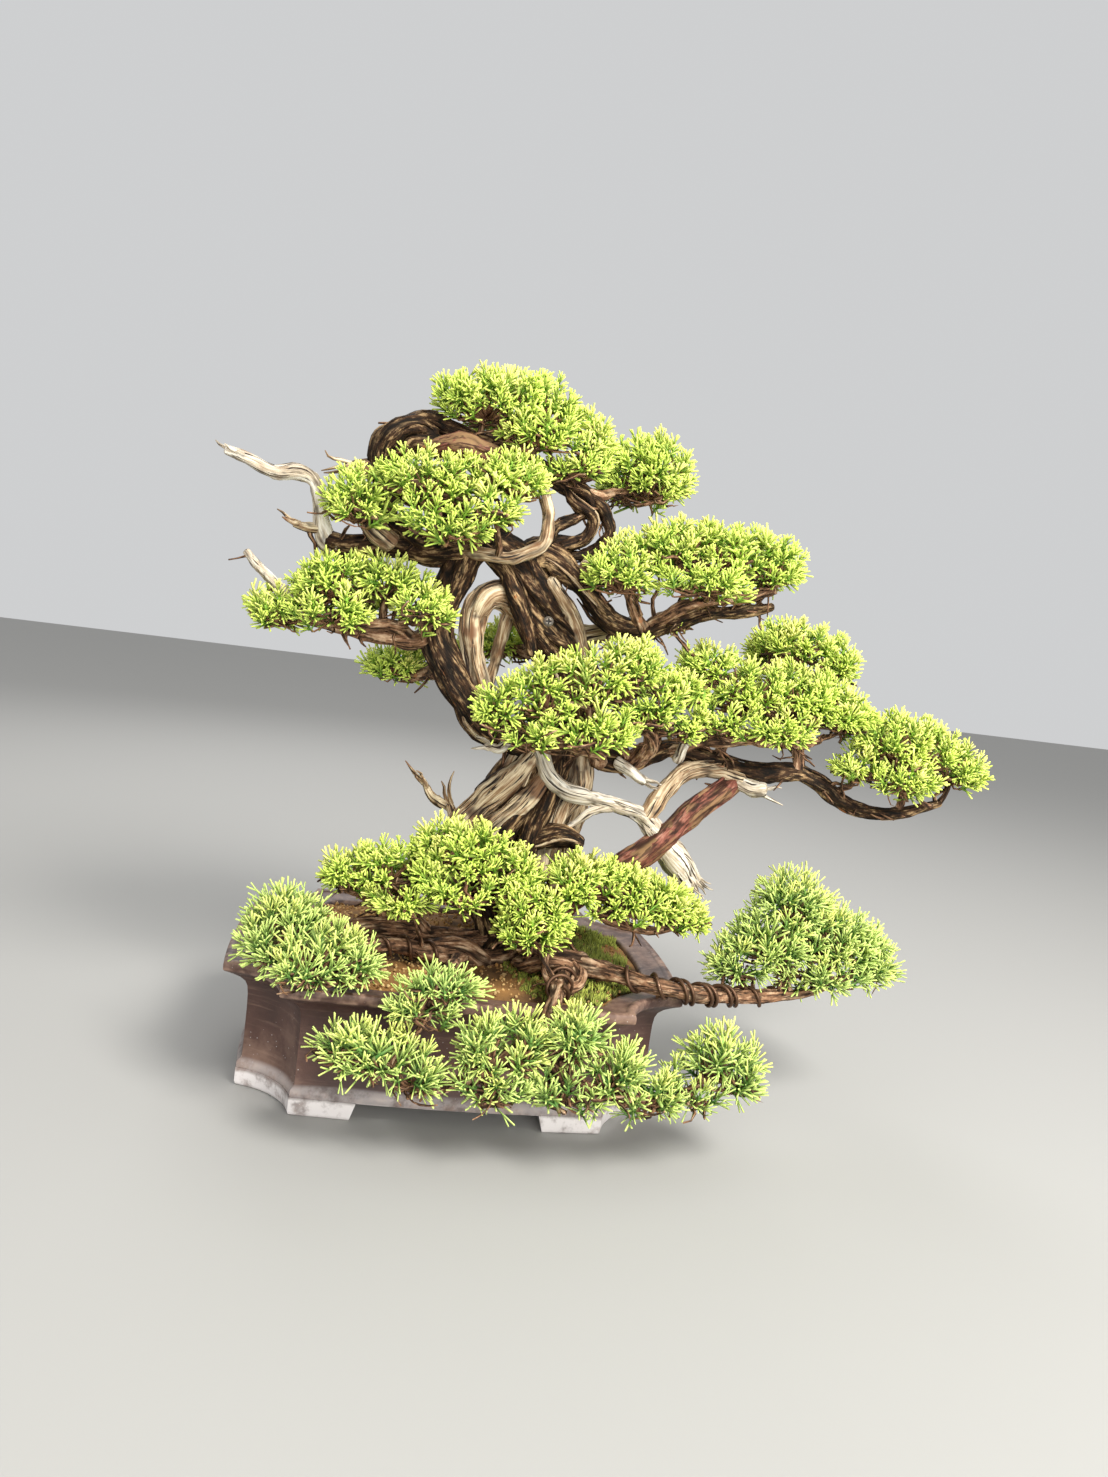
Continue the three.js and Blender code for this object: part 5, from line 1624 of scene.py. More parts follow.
@dataclass
class FoliagePad:
    """A pad of sprays spread over a few rounded lobes, with the branchlets that carry them."""

    name: str
    lobes: list[Lobe]
    scatter: Scatter
    twig: Material
    leaf: Material
    slot: str
    seed: int
    anchors: np.ndarray
    area_per_spray: float = 232.0
    reach: float = 18.5
    lowest: float = -0.66
    inner_share: float = 0.26
    inner_inset: float = 0.34
    groove_start: float = 1.42
    groove_width: float = 0.42
    groove_depth: float = 7.0
    overlap: float = 0.9
    aim_lift: float = 0.5
    twigs_per_lobe: int = 4
    tangles_per_lobe: int = 4
    fringe_per_lobe: int = 7
    under: float = 0.62
    twig_radii: tuple[float, float, float] = (0.0011, 0.0009, 0.0008)

    def __post_init__(self) -> None:
        """Starts its mesh and its random numbers."""
        self.shell = Shell()
        self.random = np.random.default_rng(self.seed)

    def build(self) -> None:
        """Makes the pad."""
        for lobe in self.lobes:
            self._cover_lobe(lobe)
            self._add_twigs(lobe)
            for _ in range(self.tangles_per_lobe):
                self._add_tangle(lobe)
            for _ in range(self.fringe_per_lobe):
                self._add_fringe(lobe)
        piece = self.scatter.run(self.shell.build("foliage_pad_" + self.name, [self.twig]), self.leaf)
        hand_in(piece, self.slot, "foliage_" + self.name)

    def _cover_lobe(self, lobe: Lobe) -> None:
        """Spreads sprays over one lobe and a few inside it, each on a thin twig from the lobe's hub.

        Args:
            lobe: the lobe.
        """
        random = self.random
        count = max(5, round(4 * math.pi * lobe.half.mean() ** 2 / self.area_per_spray))
        outer = self._layer(lobe, count, 0.0)
        inner = self._layer(lobe, round(count * self.inner_share), 1.0)
        surface, aim, deep = (np.concatenate(both) for both in zip(outer, inner))
        size = random.uniform(0.8, 1.12, len(surface)) * min(1.0, lobe.half.mean() / 17)
        size *= 1 + 0.3 * (random.uniform(size=len(surface)) < 0.07)
        root = surface - aim * (self.reach * size)[:, None] + random.normal(0, 0.8, surface.shape)
        tone = random.uniform(0, 1, len(surface)) * 0.6
        # Painted light: besides its random part, tone rises towards the top of the lobe, which the shader
        # makes lighter.
        tone += 0.4 * np.clip((surface[:, 2] - lobe.centre[2]) / lobe.half[2], 0, 1)
        kinds = np.where(deep > 0.5, FULL_SPRAYS + random.integers(0, THIN_SPRAYS, len(deep)),
                         random.integers(0, FULL_SPRAYS, len(deep)))
        self.scatter.points(self.shell, root, aim, size, random, kinds, tone=tone, deep=deep)
        for spot, way in zip(root, aim):
            middle = (lobe.hub + spot) / 2 + random.normal(0, 1.2, 3) - UP * 1.5
            places = LAYOUT.place([lobe.hub, middle, spot, spot + way])
            slim_tube(self.shell, places, self.twig_radii, [0] * 4)

    def _layer(self, lobe: Lobe, count: int, deep: float) -> tuple[np.ndarray, np.ndarray, np.ndarray]:
        """Spreads places evenly over a lobe, or over a smaller one inside it.

        Args:
            lobe: the lobe.
            count: how many places, before those inside other lobes and underneath are left out.
            deep: 0 for the lobe's surface, 1 for the layer inside it.

        Returns:
            The places, the sprays' aims, and deep for each.
        """
        random = self.random
        i = np.arange(count)
        up = 1 - 2 * (i + 0.5) / count + random.uniform(-0.06, 0.06, count)
        up = np.clip(up, -1, 1)
        turn = i * GOLDEN_ANGLE + random.uniform(-0.25, 0.25, count) + deep
        flat = np.sqrt(1 - up ** 2)
        ball = np.stack([flat * np.cos(turn), flat * np.sin(turn), up], axis=1)
        flattened = ball.copy()
        flattened[up < 0, 2] *= self.under
        surface = lobe.centre + flattened * lobe.half * (1 - self.inner_inset * deep)
        normal = unit(ball / lobe.half)
        normal[:, 2] = np.maximum(normal[:, 2], -0.3)
        rough = 2.6 * value_noise(surface / 15, self.seed) + 1.6 * value_noise(surface / 7, self.seed + 1)
        groove = np.clip((self.groove_start - self._from_others(lobe, surface)) / self.groove_width, 0, 1)
        surface = surface + normal * (rough + groove * self.groove_depth - 1.5)[:, None]
        aim = unit(normal + UP * self.aim_lift + random.normal(0, 0.26, ball.shape))
        kept = (up > self.lowest) & (self._from_others(lobe, surface) >= self.overlap)
        return surface[kept], aim[kept], np.full(kept.sum(), deep)

    def _from_others(self, own: Lobe, places: np.ndarray) -> np.ndarray:
        """How far places of a lobe are from the nearest other lobe's centre, with 1 at its surface."""
        others = [lobe.away(places) for lobe in self.lobes if lobe is not own]
        return np.min([np.full(len(places), np.inf), *others], axis=0)

    def _add_twigs(self, lobe: Lobe) -> None:
        """Adds crooked branchlets: some from the nearest wood to the hub, and some out to the lobe's rim.

        Args:
            lobe: the lobe.
        """
        hub, half, random = lobe.hub, lobe.half, self.random
        distance = np.linalg.norm(self.anchors - hub, axis=1)
        ways = [(self.anchors[np.argmin(distance)], hub, 2.8)]
        close = self.anchors[distance < distance.min() + 22]
        for start in close[random.integers(0, len(close), 2)]:
            end = hub + random.uniform(-0.6, 0.6, 3) * half * [1, 1, 0.4]
            ways.append((start, end, random.uniform(1.5, 2.4)))
        for i in range(self.twigs_per_lobe):
            turn = i * FULL_TURN / self.twigs_per_lobe + random.uniform(-0.5, 0.5)
            rim = hub + np.array([math.cos(turn), math.sin(turn), random.uniform(-0.1, 0.35)]) * half * 0.86
            ways.append((hub, rim, random.uniform(1.7, 2.3)))
        for start, end, thick in ways:
            knots = []
            for share, width in ((0, 1), (0.35, 0.85), (0.7, 0.65), (1, 0.4)):
                bend = random.normal(0, 2.2, 3) * (0 < share < 1)
                knots.append([*(start + (end - start) * share + bend), thick * width])
            BRANCHLET.add(self.shell, knots, any_seed(random), 0)

    def _add_tangle(self, lobe: Lobe) -> None:
        """Adds a crooked branchlet that wanders along the underside of a lobe.

        Args:
            lobe: the lobe.
        """
        random = self.random
        place, turn = TANGLE.start(lobe, self.under, random)
        way = [math.cos(turn + random.uniform(1.5, 4.7)), math.sin(turn + random.uniform(1.5, 4.7)), 0]
        thick = random.uniform(1.0, 1.9)
        widths = (1, *(0.9 - 0.13 * step for step in range(TANGLE.steps)))
        places = TANGLE.walk(lobe, place, way, random)
        knots = [[*knot, thick * width] for knot, width in zip(places, widths)]
        BRANCHLET.add(self.shell, knots, any_seed(random), 0)

    def _add_fringe(self, lobe: Lobe) -> None:
        """Adds a fine dead twig that zigzags under a lobe, between its branchlets.

        Args:
            lobe: the lobe.
        """
        place, turn = FRINGE.start(lobe, self.under, self.random)
        knots = FRINGE.walk(lobe, place, [math.cos(turn + 2.2), math.sin(turn + 2.2), 0], self.random)
        radii = self.random.uniform(0.55, 0.95) * MM * np.array([0.9, 1.0, 0.85, 0.7])
        slim_tube(self.shell, LAYOUT.place(knots), radii, [0] * len(knots))


HALF_LENGTH = 165.0
HALF_WIDTH = 130.0
COVE = 44.0
BULGE = 5.0
CORNERS = ((1, -1), (1, 1), (-1, 1), (-1, -1))
FRONT_STEPS = 14
SIDE_STEPS = 10
COVE_STEPS = 12


def cove_arc(inset: float, quarter: int, shares: np.ndarray) -> np.ndarray:
    """A concave corner of the pot's plan, anticlockwise.

    Args:
        inset: distance inside the rim's outer edge, in millimetres.
        quarter: its number, with 0 at the front right.
        shares: shares of the arc.

    Returns:
        Points x, y.
    """
    radius = COVE + inset
    start = math.atan2(inset, cove_reach(inset))
    angle = math.pi + quarter * math.pi / 2 - start - shares * (math.pi / 2 - 2 * start)
    corner_x, corner_y = CORNERS[quarter]
    return np.stack([HALF_LENGTH * corner_x + radius * np.cos(angle),
                     HALF_WIDTH * corner_y + radius * np.sin(angle)], axis=1)


def cove_reach(inset: float) -> float:
    """How far a corner reaches along the pot's sides at a distance inside its rim."""
    return math.sqrt((COVE + inset) ** 2 - inset ** 2)


def bulged(half: float, inset: float, share: np.ndarray | float) -> np.ndarray | float:
    """How far a side of the pot is from its middle, at a share of the way from the side's middle."""
    return half - inset + BULGE * (1 - share ** 2)


def pot_outline(inset: float) -> np.ndarray:
    """The pot's plan at a distance inside its rim: bulging sides between concave corners.

    Args:
        inset: distance inside the rim's outer edge, in millimetres.

    Returns:
        Points x, y, anticlockwise from above, from the left end of the front.
    """
    reach = cove_reach(inset)
    sides = ((HALF_LENGTH, HALF_WIDTH, FRONT_STEPS), (HALF_WIDTH, HALF_LENGTH, SIDE_STEPS))
    points = []
    for quarter in range(4):
        half, far, count = sides[quarter % 2]
        share = np.linspace(-1, 1, count, endpoint=False)
        along, out = (half - reach) * share, bulged(far, inset, share)
        turn = quarter * math.pi / 2
        points.append(np.stack([along * math.cos(turn) + out * math.sin(turn),
                                along * math.sin(turn) - out * math.cos(turn)], axis=1))
        points.append(cove_arc(inset, quarter, np.linspace(0, 1, COVE_STEPS, endpoint=False)))
    return np.vstack(points)


def stacked(rings: Sequence[tuple[np.ndarray, float]]) -> tuple[np.ndarray, np.ndarray]:
    """Points and side quads of outlines stacked from the outside bottom up and round.

    Args:
        rings: outlines, each with its height.

    Returns:
        The points and the quads.
    """
    count = len(rings[0][0])
    points = np.vstack([np.column_stack([plan, np.full(count, height)]) for plan, height in rings])
    level = np.arange(len(rings) - 1)[:, None] * count
    j = np.arange(count)[None, :]
    k = (j + 1) % count
    quads = np.stack([level + j, level + k, level + k + count, level + j + count], axis=-1)
    return points, quads.reshape(-1, 4)


def filled(loops: Sequence[np.ndarray], starts: Sequence[int], up: bool) -> np.ndarray:
    """Triangles that fill an outline round its holes.

    Args:
        loops: plans, the outer one first.
        starts: the number of each loop's first point.
        up: whether the face looks up.

    Returns:
        The triangles.
    """
    flat = [[Vector((x, y, 0)) for x, y in loop] for loop in loops]
    numbers = np.concatenate([start + np.arange(len(loop)) for start, loop in zip(starts, loops)])
    plans = np.vstack(loops)
    triangles = []
    for a, b, c in tessellate_polygon(flat):
        area = np.cross(plans[b] - plans[a], plans[c] - plans[a])
        triangles.append((a, b, c) if (area > 0) == up else (a, c, b))
    return numbers[np.array(triangles)]


@dataclass
class ClayPot:
    """The pot: wall, lip with a raised bead, floor with two drain holes, and four corner feet.

    The profile runs from the outside of the floor up, over the lip and down inside. Each place has its
    inset from the rim, its height and how worn it is.
    """

    finish: ClayFinish = ClayFinish()
    profile: tuple[tuple[float, float, float], ...] = (
        (19, 12, 0), (16.6, 12.1, 0), (14.6, 12.8, 0.3), (14, 14, 0.6), (14, 17.4, 0.6), (14.7, 18.8, 0.3),
        (16.4, 20.3, 0), (17, 22, 0), (17.1, 34, 0), (17.1, 48, 0), (17, 60, 0), (16.7, 68, 0),
        (16, 73.5, 0), (14.4, 77.4, 0), (11.2, 80.8, 0), (7, 83.8, 0), (3.4, 86, 0.2), (1, 87.4, 0.6),
        (0.1, 88.7, 1), (0, 90.5, 0.5), (0, 92.6, 0.7), (0.5, 94.2, 1), (1.8, 95, 1), (3.8, 95, 1),
        (5.4, 94.6, 1), (6.3, 93.7, 0.5), (7.6, 93.1, 0.5), (14, 92.6, 0.5), (20.4, 92, 0.6),
        (22.4, 91.5, 1), (23.6, 90.2, 0.9), (24.2, 88, 0.2), (24.5, 60, 0), (25, 21, 0),
    )
    drain_radius: float = 11.0
    drain_offset: float = 75.0
    foot_height: float = 13.5
    foot_insets: tuple[float, float] = (13.5, 39.5)
    foot_ends: tuple[float, float] = (63.5, 36.5)
    foot_slant: float = 4.0
    foot_levels: tuple[tuple[float, float], ...] = ((0, 3.2), (0.5, 1.8), (1.6, 0.7), (3.4, 0), (13.5, 0))
    foot_wear: float = 0.8
    sharp_angle: float = 38.0

    def build(self) -> None:
        """Makes the pot."""
        shell = Shell()
        self._add_body(shell)
        for corner_x in (-1, 1):
            for corner_y in (-1, 1):
                self._add_foot(shell, corner_x, corner_y)
        piece = shell.build("clay_pot", [self.finish.material()])
        piece.data.set_sharp_from_angle(angle=math.radians(self.sharp_angle))
        hand_in(piece, "clay", "pot")

    def _add_body(self, shell: Shell) -> None:
        """Adds the wall, floor and drain holes as one closed surface.

        Args:
            shell: the mesh to add to.
        """
        rings = [(pot_outline(inset), height) for inset, height, _ in self.profile]
        points, quads = stacked(rings)
        count = len(rings[0][0])
        edge = np.repeat([wear for _, _, wear in self.profile], count)
        turn = np.arange(24) * math.pi / 12
        below, above = [rings[0][0]], [rings[-1][0]]
        starts_below, starts_above = [0], [(len(rings) - 1) * count]
        for x in (-self.drain_offset, self.drain_offset):
            plan = np.stack([x + self.drain_radius * np.cos(turn), self.drain_radius * np.sin(turn)], axis=1)
            tube, faces = stacked([(plan, self.profile[0][1]), (plan, self.profile[-1][1])])
            below.append(plan)
            above.append(plan)
            starts_below.append(len(points))
            starts_above.append(len(points) + len(plan))
            quads = np.vstack([quads, faces[:, ::-1] + len(points)])
            points = np.vstack([points, tube])
        edge = np.concatenate([edge, np.zeros(len(points) - len(edge))])
        shell.add(LAYOUT.place(points),
                  [quads, filled(below, starts_below, False), filled(above, starts_above, True)], edge=edge)

    def _add_foot(self, shell: Shell, corner_x: int, corner_y: int) -> None:
        """Adds the foot that wraps one corner, with slanted ends.

        Args:
            shell: the mesh to add to.
            corner_x: -1 for the left, 1 for the right.
            corner_y: -1 for the front, 1 for the back.
        """
        flip = np.array([corner_x, -corner_y])
        low, high = ([self._foot_edge(inset, slant) * flip for inset in self.foot_insets]
                     for slant in (self.foot_slant, 0.0))
        levels = []
        for height, trim in self.foot_levels:
            share = height / self.foot_height
            outer, inner = (start * (1 - share) + end * share for start, end in zip(low, high))
            band = unit(inner - outer)
            loop = np.vstack([outer + band * trim, (inner - band * trim)[::-1]])
            levels.append((loop if corner_x * corner_y < 0 else loop[::-1], height))
        points, quads = stacked(levels)
        count = len(levels[0][0])
        strip = np.arange(count // 2 - 1)
        cap = np.stack([strip, strip + 1, count - 2 - strip, count - 1 - strip], axis=1)
        edge = np.repeat([self.foot_wear] * (len(levels) - 1) + [0.0], count)
        shell.add(LAYOUT.place(points), [quads, cap[:, ::-1], cap + (len(levels) - 1) * count], edge=edge)

    def _foot_edge(self, inset: float, slant: float) -> np.ndarray:
        """One long edge of the right front foot: along the front, round the cove and along the side.

        Args:
            inset: distance inside the rim's outer edge.
            slant: how far its ends are moved apart.

        Returns:
            Points x, y.
        """
        cove = cove_arc(inset, 0, np.linspace(0, 1, 15))
        share = np.linspace(0, 1, 5, endpoint=False)[:, None]
        x_end, y_end = self.foot_ends[0] + slant, -self.foot_ends[1] - slant
        reach = cove_reach(inset)
        front = bulged(HALF_WIDTH, inset, x_end / (HALF_LENGTH - reach))
        side = bulged(HALF_LENGTH, inset, y_end / (HALF_WIDTH - reach))
        before = np.array([x_end, -front]) * (1 - share) + cove[0] * share
        after = cove[-1] * share[::-1] + np.array([side, y_end]) * (1 - share[::-1])
        return np.vstack([before, cove, after])


@dataclass
class PottedSoil:
    """Soil with loose clay granules on it and moss over part of it.

    The hidden side under the soil's edge is given by insets from the rim and heights, from the floor up.
    """

    granules: Scatter
    moss: Scatter
    granule_count: int = 2900
    moss_count: int = 1500
    hidden_side: tuple[tuple[float, float], ...] = ((25.4, 21.4), (24.6, 60), (24.4, 86))
    edge_inset: float = 25.0
    edge_height: float = 88.0
    crown_height: float = 94.0
    crown_inset: float = 122.0
    shoulder: float = 55.0
    innermost_outline: float = 60.0
    closing: float = 66.0
    scatter_inset: float = 26.0
    granule_seed: int = 21
    moss_seed: int = 34

    def build(self, finish: Material, moss: Material) -> None:
        """Makes the soil and the moss.

        Args:
            finish: the material of soil and granules.
            moss: the moss's material.
        """
        shell = Shell()
        rings = [(pot_outline(inset), height) for inset, height in self.hidden_side]
        rings += [(self._outline(inset), self._height(inset))
                  for inset in np.linspace(self.edge_inset, self.crown_inset, 34)]
        points, quads = stacked(rings)
        count = len(rings[0][0])
        top = len(self.hidden_side) * count
        rough = value_noise(points / 9, 5) * 1.4 + value_noise(points / 3.4, 6) * 0.8
        points[top:, 2] += rough[top:]
        last = (len(rings) - 1) * count
        middle = np.append(points[last:].mean(axis=0)[:2], self.crown_height)
        ring = np.arange(count)
        fan = np.stack([last + ring, last + (ring + 1) % count, np.full(count, len(points))], axis=1)
        points = np.vstack([points, middle])
        tone = 0.3 + 0.25 * value_noise(points / 14, 8)
        shell.add(LAYOUT.place(points), [quads, filled([rings[0][0]], [0], False), fan], tone=tone)
        self._scatter_granules(shell)
        piece = self.granules.run(shell.build("soil_and_granules", [finish]), finish)
        hand_in(piece, "soil", "soil")
        self._grow_moss(moss)

    def _outline(self, inset: float) -> np.ndarray:
        """The soil's plan at an inset, drawn in towards the middle beyond the innermost outline."""
        shrink = 1 - max(0.0, inset - self.innermost_outline) / self.closing
        return pot_outline(min(inset, self.innermost_outline)) * shrink

    def _height(self, inset: np.ndarray | float) -> np.ndarray | float:
        """The soil's height at an inset."""
        share = np.clip((inset - self.edge_inset) / self.shoulder, 0, 1)
        return self.edge_height + (self.crown_height - self.edge_height) * share * (2 - share)

    def _surface(self, random: Random, count: int) -> np.ndarray:
        """Random places on the soil, x, y and z in millimetres.

        Args:
            random: picks the places.
            count: how many, before those in the pot's corners are left out.

        Returns:
            The places.
        """
        plan = np.array([HALF_LENGTH, HALF_WIDTH])
        spots = random.uniform(self.scatter_inset - plan, plan - self.scatter_inset, (count, 2))
        spots = spots[np.hypot(*(plan - np.abs(spots)).T) > COVE + self.scatter_inset]
        return np.column_stack([spots, self._height((plan - np.abs(spots)).min(axis=1))])

    def _scatter_granules(self, shell: Shell) -> None:
        """Lays granules over the soil, paler at the front left.

        Args:
            shell: the mesh to add to.
        """
        random = np.random.default_rng(self.granule_seed)
        spots = self._surface(random, self.granule_count)
        size = random.uniform(0.55, 1.25, len(spots)) + 0.5 * (random.uniform(size=len(spots)) > 0.85)
        spots[:, 2] += size * 0.7 + random.uniform(-0.4, 0.8, len(spots))
        pale = np.clip(0.6 - spots[:, 0] / 260 - spots[:, 1] / 420, 0.15, 1)
        tone = np.clip(random.normal(0.5, 0.27, len(spots)) * 0.6 + 0.4 * pale, 0, 1)
        self.granules.points(shell, spots, random.normal(size=spots.shape), size, random, tone=tone)

    def _grow_moss(self, finish: Material) -> None:
        """Grows moss in cushions, thickest on the right and round the trunk's foot.

        Args:
            finish: its material.
        """
        random = np.random.default_rng(self.moss_seed)
        spots = self._surface(random, self.moss_count * 5)
        damp = value_noise(spots / 26, 3) + 0.9 * np.clip(spots[:, 0] / 120, -0.6, 1) - 0.15
        damp += 0.9 * np.exp(-((spots[:, 0] - 55) ** 2 + (spots[:, 1] - 15) ** 2) / 1800)
        spots = spots[damp > 0.2][:self.moss_count]
        shell = Shell()
        aims = UP + random.normal(0, 0.28, spots.shape)
        size = random.uniform(0.7, 1.5, len(spots)) * (1 + 0.7 * np.clip(spots[:, 0] / 120, 0, 1))
        tone = random.uniform(0, 1, len(spots))
        self.moss.points(shell, spots, aims, size, random, tone=tone)
        hand_in(self.moss.run(shell.build("moss", []), finish), "soil")


def granule_shape(seed: int) -> bpy.types.Object:
    """A small angular granule, about 2 mm across, from an icosahedron.

    Args:
        seed: picks its form.

    Returns:
        The object, in metres.
    """
    golden = (1 + math.sqrt(5)) / 2
    corners = []
    for a in (-1, 1):
        for b in (-golden, golden):
            corners += [(a, b, 0), (0, a, b), (b, 0, a)]
    corners = np.array(corners)
    random = np.random.default_rng(seed)
    points = corners / math.hypot(1, golden) * random.uniform(0.75, 1.2, (12, 1))
    points *= random.uniform(0.8, 1.2, 3) * MM
    hull = [(a, b, c) for a in range(12) for b in range(a + 1, 12) for c in range(a + 1, 12)
            if b != c and on_hull(corners, a, b, c)]
    shell = Shell()
    shell.add(points, [np.array(hull)])
    return shell.build(f"granule_{seed}", [], False)


def on_hull(corners: np.ndarray, a: int, b: int, c: int) -> bool:
    """Whether three corners of an icosahedron are one of its faces, anticlockwise from outside."""
    level = corners @ np.cross(corners[b] - corners[a], corners[c] - corners[a])
    return bool(level[a] > 0 and np.sum(level > level[a] - 1e-6) == 3)


def moss_shape(seed: int) -> bpy.types.Object:
    """A tuft of four short leaves, about 3 mm high.

    Args:
        seed: picks its form.

    Returns:
        The object, in metres.
    """
    random = np.random.default_rng(seed)
    shell = Shell()
    for i in range(4):
        turn = i * math.pi / 2 + random.uniform(-0.5, 0.5)
        lean = random.uniform(0.5, 1.6)
        out = np.array([math.cos(turn), math.sin(turn), 0])
        tip = out * lean + UP * random.uniform(2.2, 3.6)
        slim_tube(shell, np.array([out * 0.5 - UP * 0.6, tip]) * MM, [0.0006], [0, 1])
    return shell.build(f"moss_tuft_{seed}", [])


@dataclass(frozen=True)
class WoundWire:
    """A training wire wound round a branch, from a share of the branch's length to another."""

    node: str
    branch: Path
    start: float
    end: float
    turns: float
    phase: float
    radius: float = 1.4
    clearance: float = 0.5

    def build(self, tree: GeometryTree, finish: Material) -> None:
        """Makes the wire.

        Args:
            tree: the tree that turns a line into a round tube.
            finish: its material.
        """
        route = Route.through(self.branch, 0.8)
        across = np.cross(route.tangents, route.normals)
        steps = round(self.turns * 28)
        share = np.linspace(0, 1, steps + 1)
        place = (self.start + (self.end - self.start) * share) * (len(route.along) - 1)
        angle = self.phase + FULL_TURN * self.turns * share

        def between(rows: np.ndarray) -> np.ndarray:
            """Works out a value for each place on the wire from the branch's stations.

            Args:
                rows: a row of the value for each station.

            Returns:
                A row for each place.
            """
            low = np.floor(place).astype(int)
            part = (place - low)[:, None]
            return rows[low] * (1 - part) + rows[np.minimum(low + 1, len(rows) - 1)] * part

        radius = between(route.radii[:, None]) + self.radius + self.clearance
        out = between(route.normals) * np.cos(angle)[:, None] + between(across) * np.sin(angle)[:, None]
        line = bpy.data.meshes.new(self.node)
        edges = [(i, i + 1) for i in range(steps)]
        line.from_pydata(LAYOUT.place(between(route.centres) + out * radius).tolist(), edges, [])
        piece = linked(self.node + "_round", line)
        tree.run(piece, Radius=self.radius * MM, Material=finish)
        hand_in(piece, "wire", self.node)


def wire_tree() -> GeometryTree:
    """Builds the tree that turns a line of edges into a round closed tube.

    Returns:
        The tree.
    """
    tree = GeometryTree("round_wire")
    radius, material = tree.input("Radius", "Float"), tree.input("Material", "Material")
    curve = tree.node("GeometryNodeMeshToCurve", {}, {0: tree.start.outputs[0]})
    section = tree.node("GeometryNodeCurvePrimitiveCircle", {}, {"Resolution": 10, "Radius": radius})
    tube = tree.node("GeometryNodeCurveToMesh", {}, {
        "Curve": curve.outputs[0], "Profile Curve": section.outputs[0], "Fill Caps": True})
    smooth = tree.node("GeometryNodeSetShadeSmooth", {}, {"Geometry": tube.outputs[0]})
    tree.finish(tree.dressed(smooth.outputs[0], material))
    return tree


WIRES = (
    WoundWire("wire_right_branch_a", LOW_RIGHT, 0.3, 0.8, 6, 0),
    WoundWire("wire_right_branch_b", LOW_RIGHT, 0.4, 0.7, 3.6, 2.8),
    WoundWire("wire_front_branch", LOW_FRONT, 0.38, 0.64, 2.6, 2),
    WoundWire("wire_left_branch", LOW_LEFT_FRONT, 0.42, 0.72, 2.8, 1),
)


@dataclass(frozen=True)
class SoftLight:
    """A square soft light that looks at the tree, in metres and watts."""

    name: str
    place: tuple[float, float, float]
    size: float
    power: float
    colour: Colour
    target: tuple[float, float, float] = (0.0, 0.0, 0.28)

    def build(self) -> None:
        """Makes the light."""
        light = bpy.data.lights.new(self.name, "AREA")
        light.size = self.size
        light.energy = self.power
        light.color = self.colour
        lamp = linked(self.name, light)
        lamp.location = self.place
        lamp.rotation_euler = (Vector(self.target) - Vector(self.place)).to_track_quat("-Z", "Y").to_euler()


@dataclass(frozen=True)
class Studio:
    """A pale floor, soft light and the camera, with its place in millimetres and its turns in radians."""

    floor_tone: Colour = srgb(168, 167, 164)
    floor_half: float = 6.0
    sky_tone: Colour = (0.86, 0.87, 0.88)
    sky_strength: float = 0.72
    lights: tuple[SoftLight, ...] = (
        SoftLight("key", (0.8, -1.3, 1.7), 0.8, 64, (1.0, 0.98, 0.94)),
        SoftLight("fill", (0.3, -1.9, 0.45), 1.2, 30, (1.0, 0.99, 0.96)),
        SoftLight("back", (-0.3, 1.6, 1.5), 1.2, 14, (1.0, 1.0, 1.0)),
    )
    place: tuple[float, float, float] = (-57.4, -835.3, 352.3)
    yaw: float = -0.1361
    pitch: float = -0.1019
    roll: float = 0.1262
    lens: float = 26.32
    sensor: float = 36.0

    def build(self) -> None:
        """Makes the floor, the lights and the camera."""
        scene = bpy.context.scene
        scene.view_settings.view_transform = "Standard"
        shader = Shader("studio_floor")
        shell = Shell()
        corners = np.array([[-1, -1, 0], [1, -1, 0], [1, 1, 0], [-1, 1, 0]]) * self.floor_half
        shell.add(corners, [np.array([[0, 1, 2, 3]])])
        floor = shell.build("studio_floor", [shader.finish(Base_Color=self.floor_tone, Roughness=0.9)])
        world = bpy.data.worlds.new("studio")
        world.use_nodes = True
        background = world.node_tree.nodes["Background"]
        background.inputs["Color"].default_value = (*self.sky_tone, 1)
        background.inputs["Strength"].default_value = self.sky_strength
        scene.world = world
        for light in self.lights:
            light.build()
        self._set_camera(scene)

    def _set_camera(self, scene: bpy.types.Scene) -> None:
        """Adds the camera at the photograph's viewing angle.

        Args:
            scene: the scene that it films.
        """
        level = math.cos(self.pitch)
        forward = Vector((-math.sin(self.yaw) * level, math.cos(self.yaw) * level, math.sin(self.pitch)))
        right = Vector((math.cos(self.yaw), math.sin(self.yaw), 0))
        upward = right.cross(forward)
        x_axis = right * math.cos(self.roll) + upward * math.sin(self.roll)
        y_axis = upward * math.cos(self.roll) - right * math.sin(self.roll)
        data = bpy.data.cameras.new("camera")
        data.sensor_fit = "AUTO"
        data.sensor_width = self.sensor
        data.lens = self.lens
        camera = linked("camera", data)
        turn = Matrix((x_axis, y_axis, -forward)).transposed()
        camera.matrix_world = Matrix.Translation(LAYOUT.place(self.place)) @ turn.to_4x4()
        scene.camera = camera


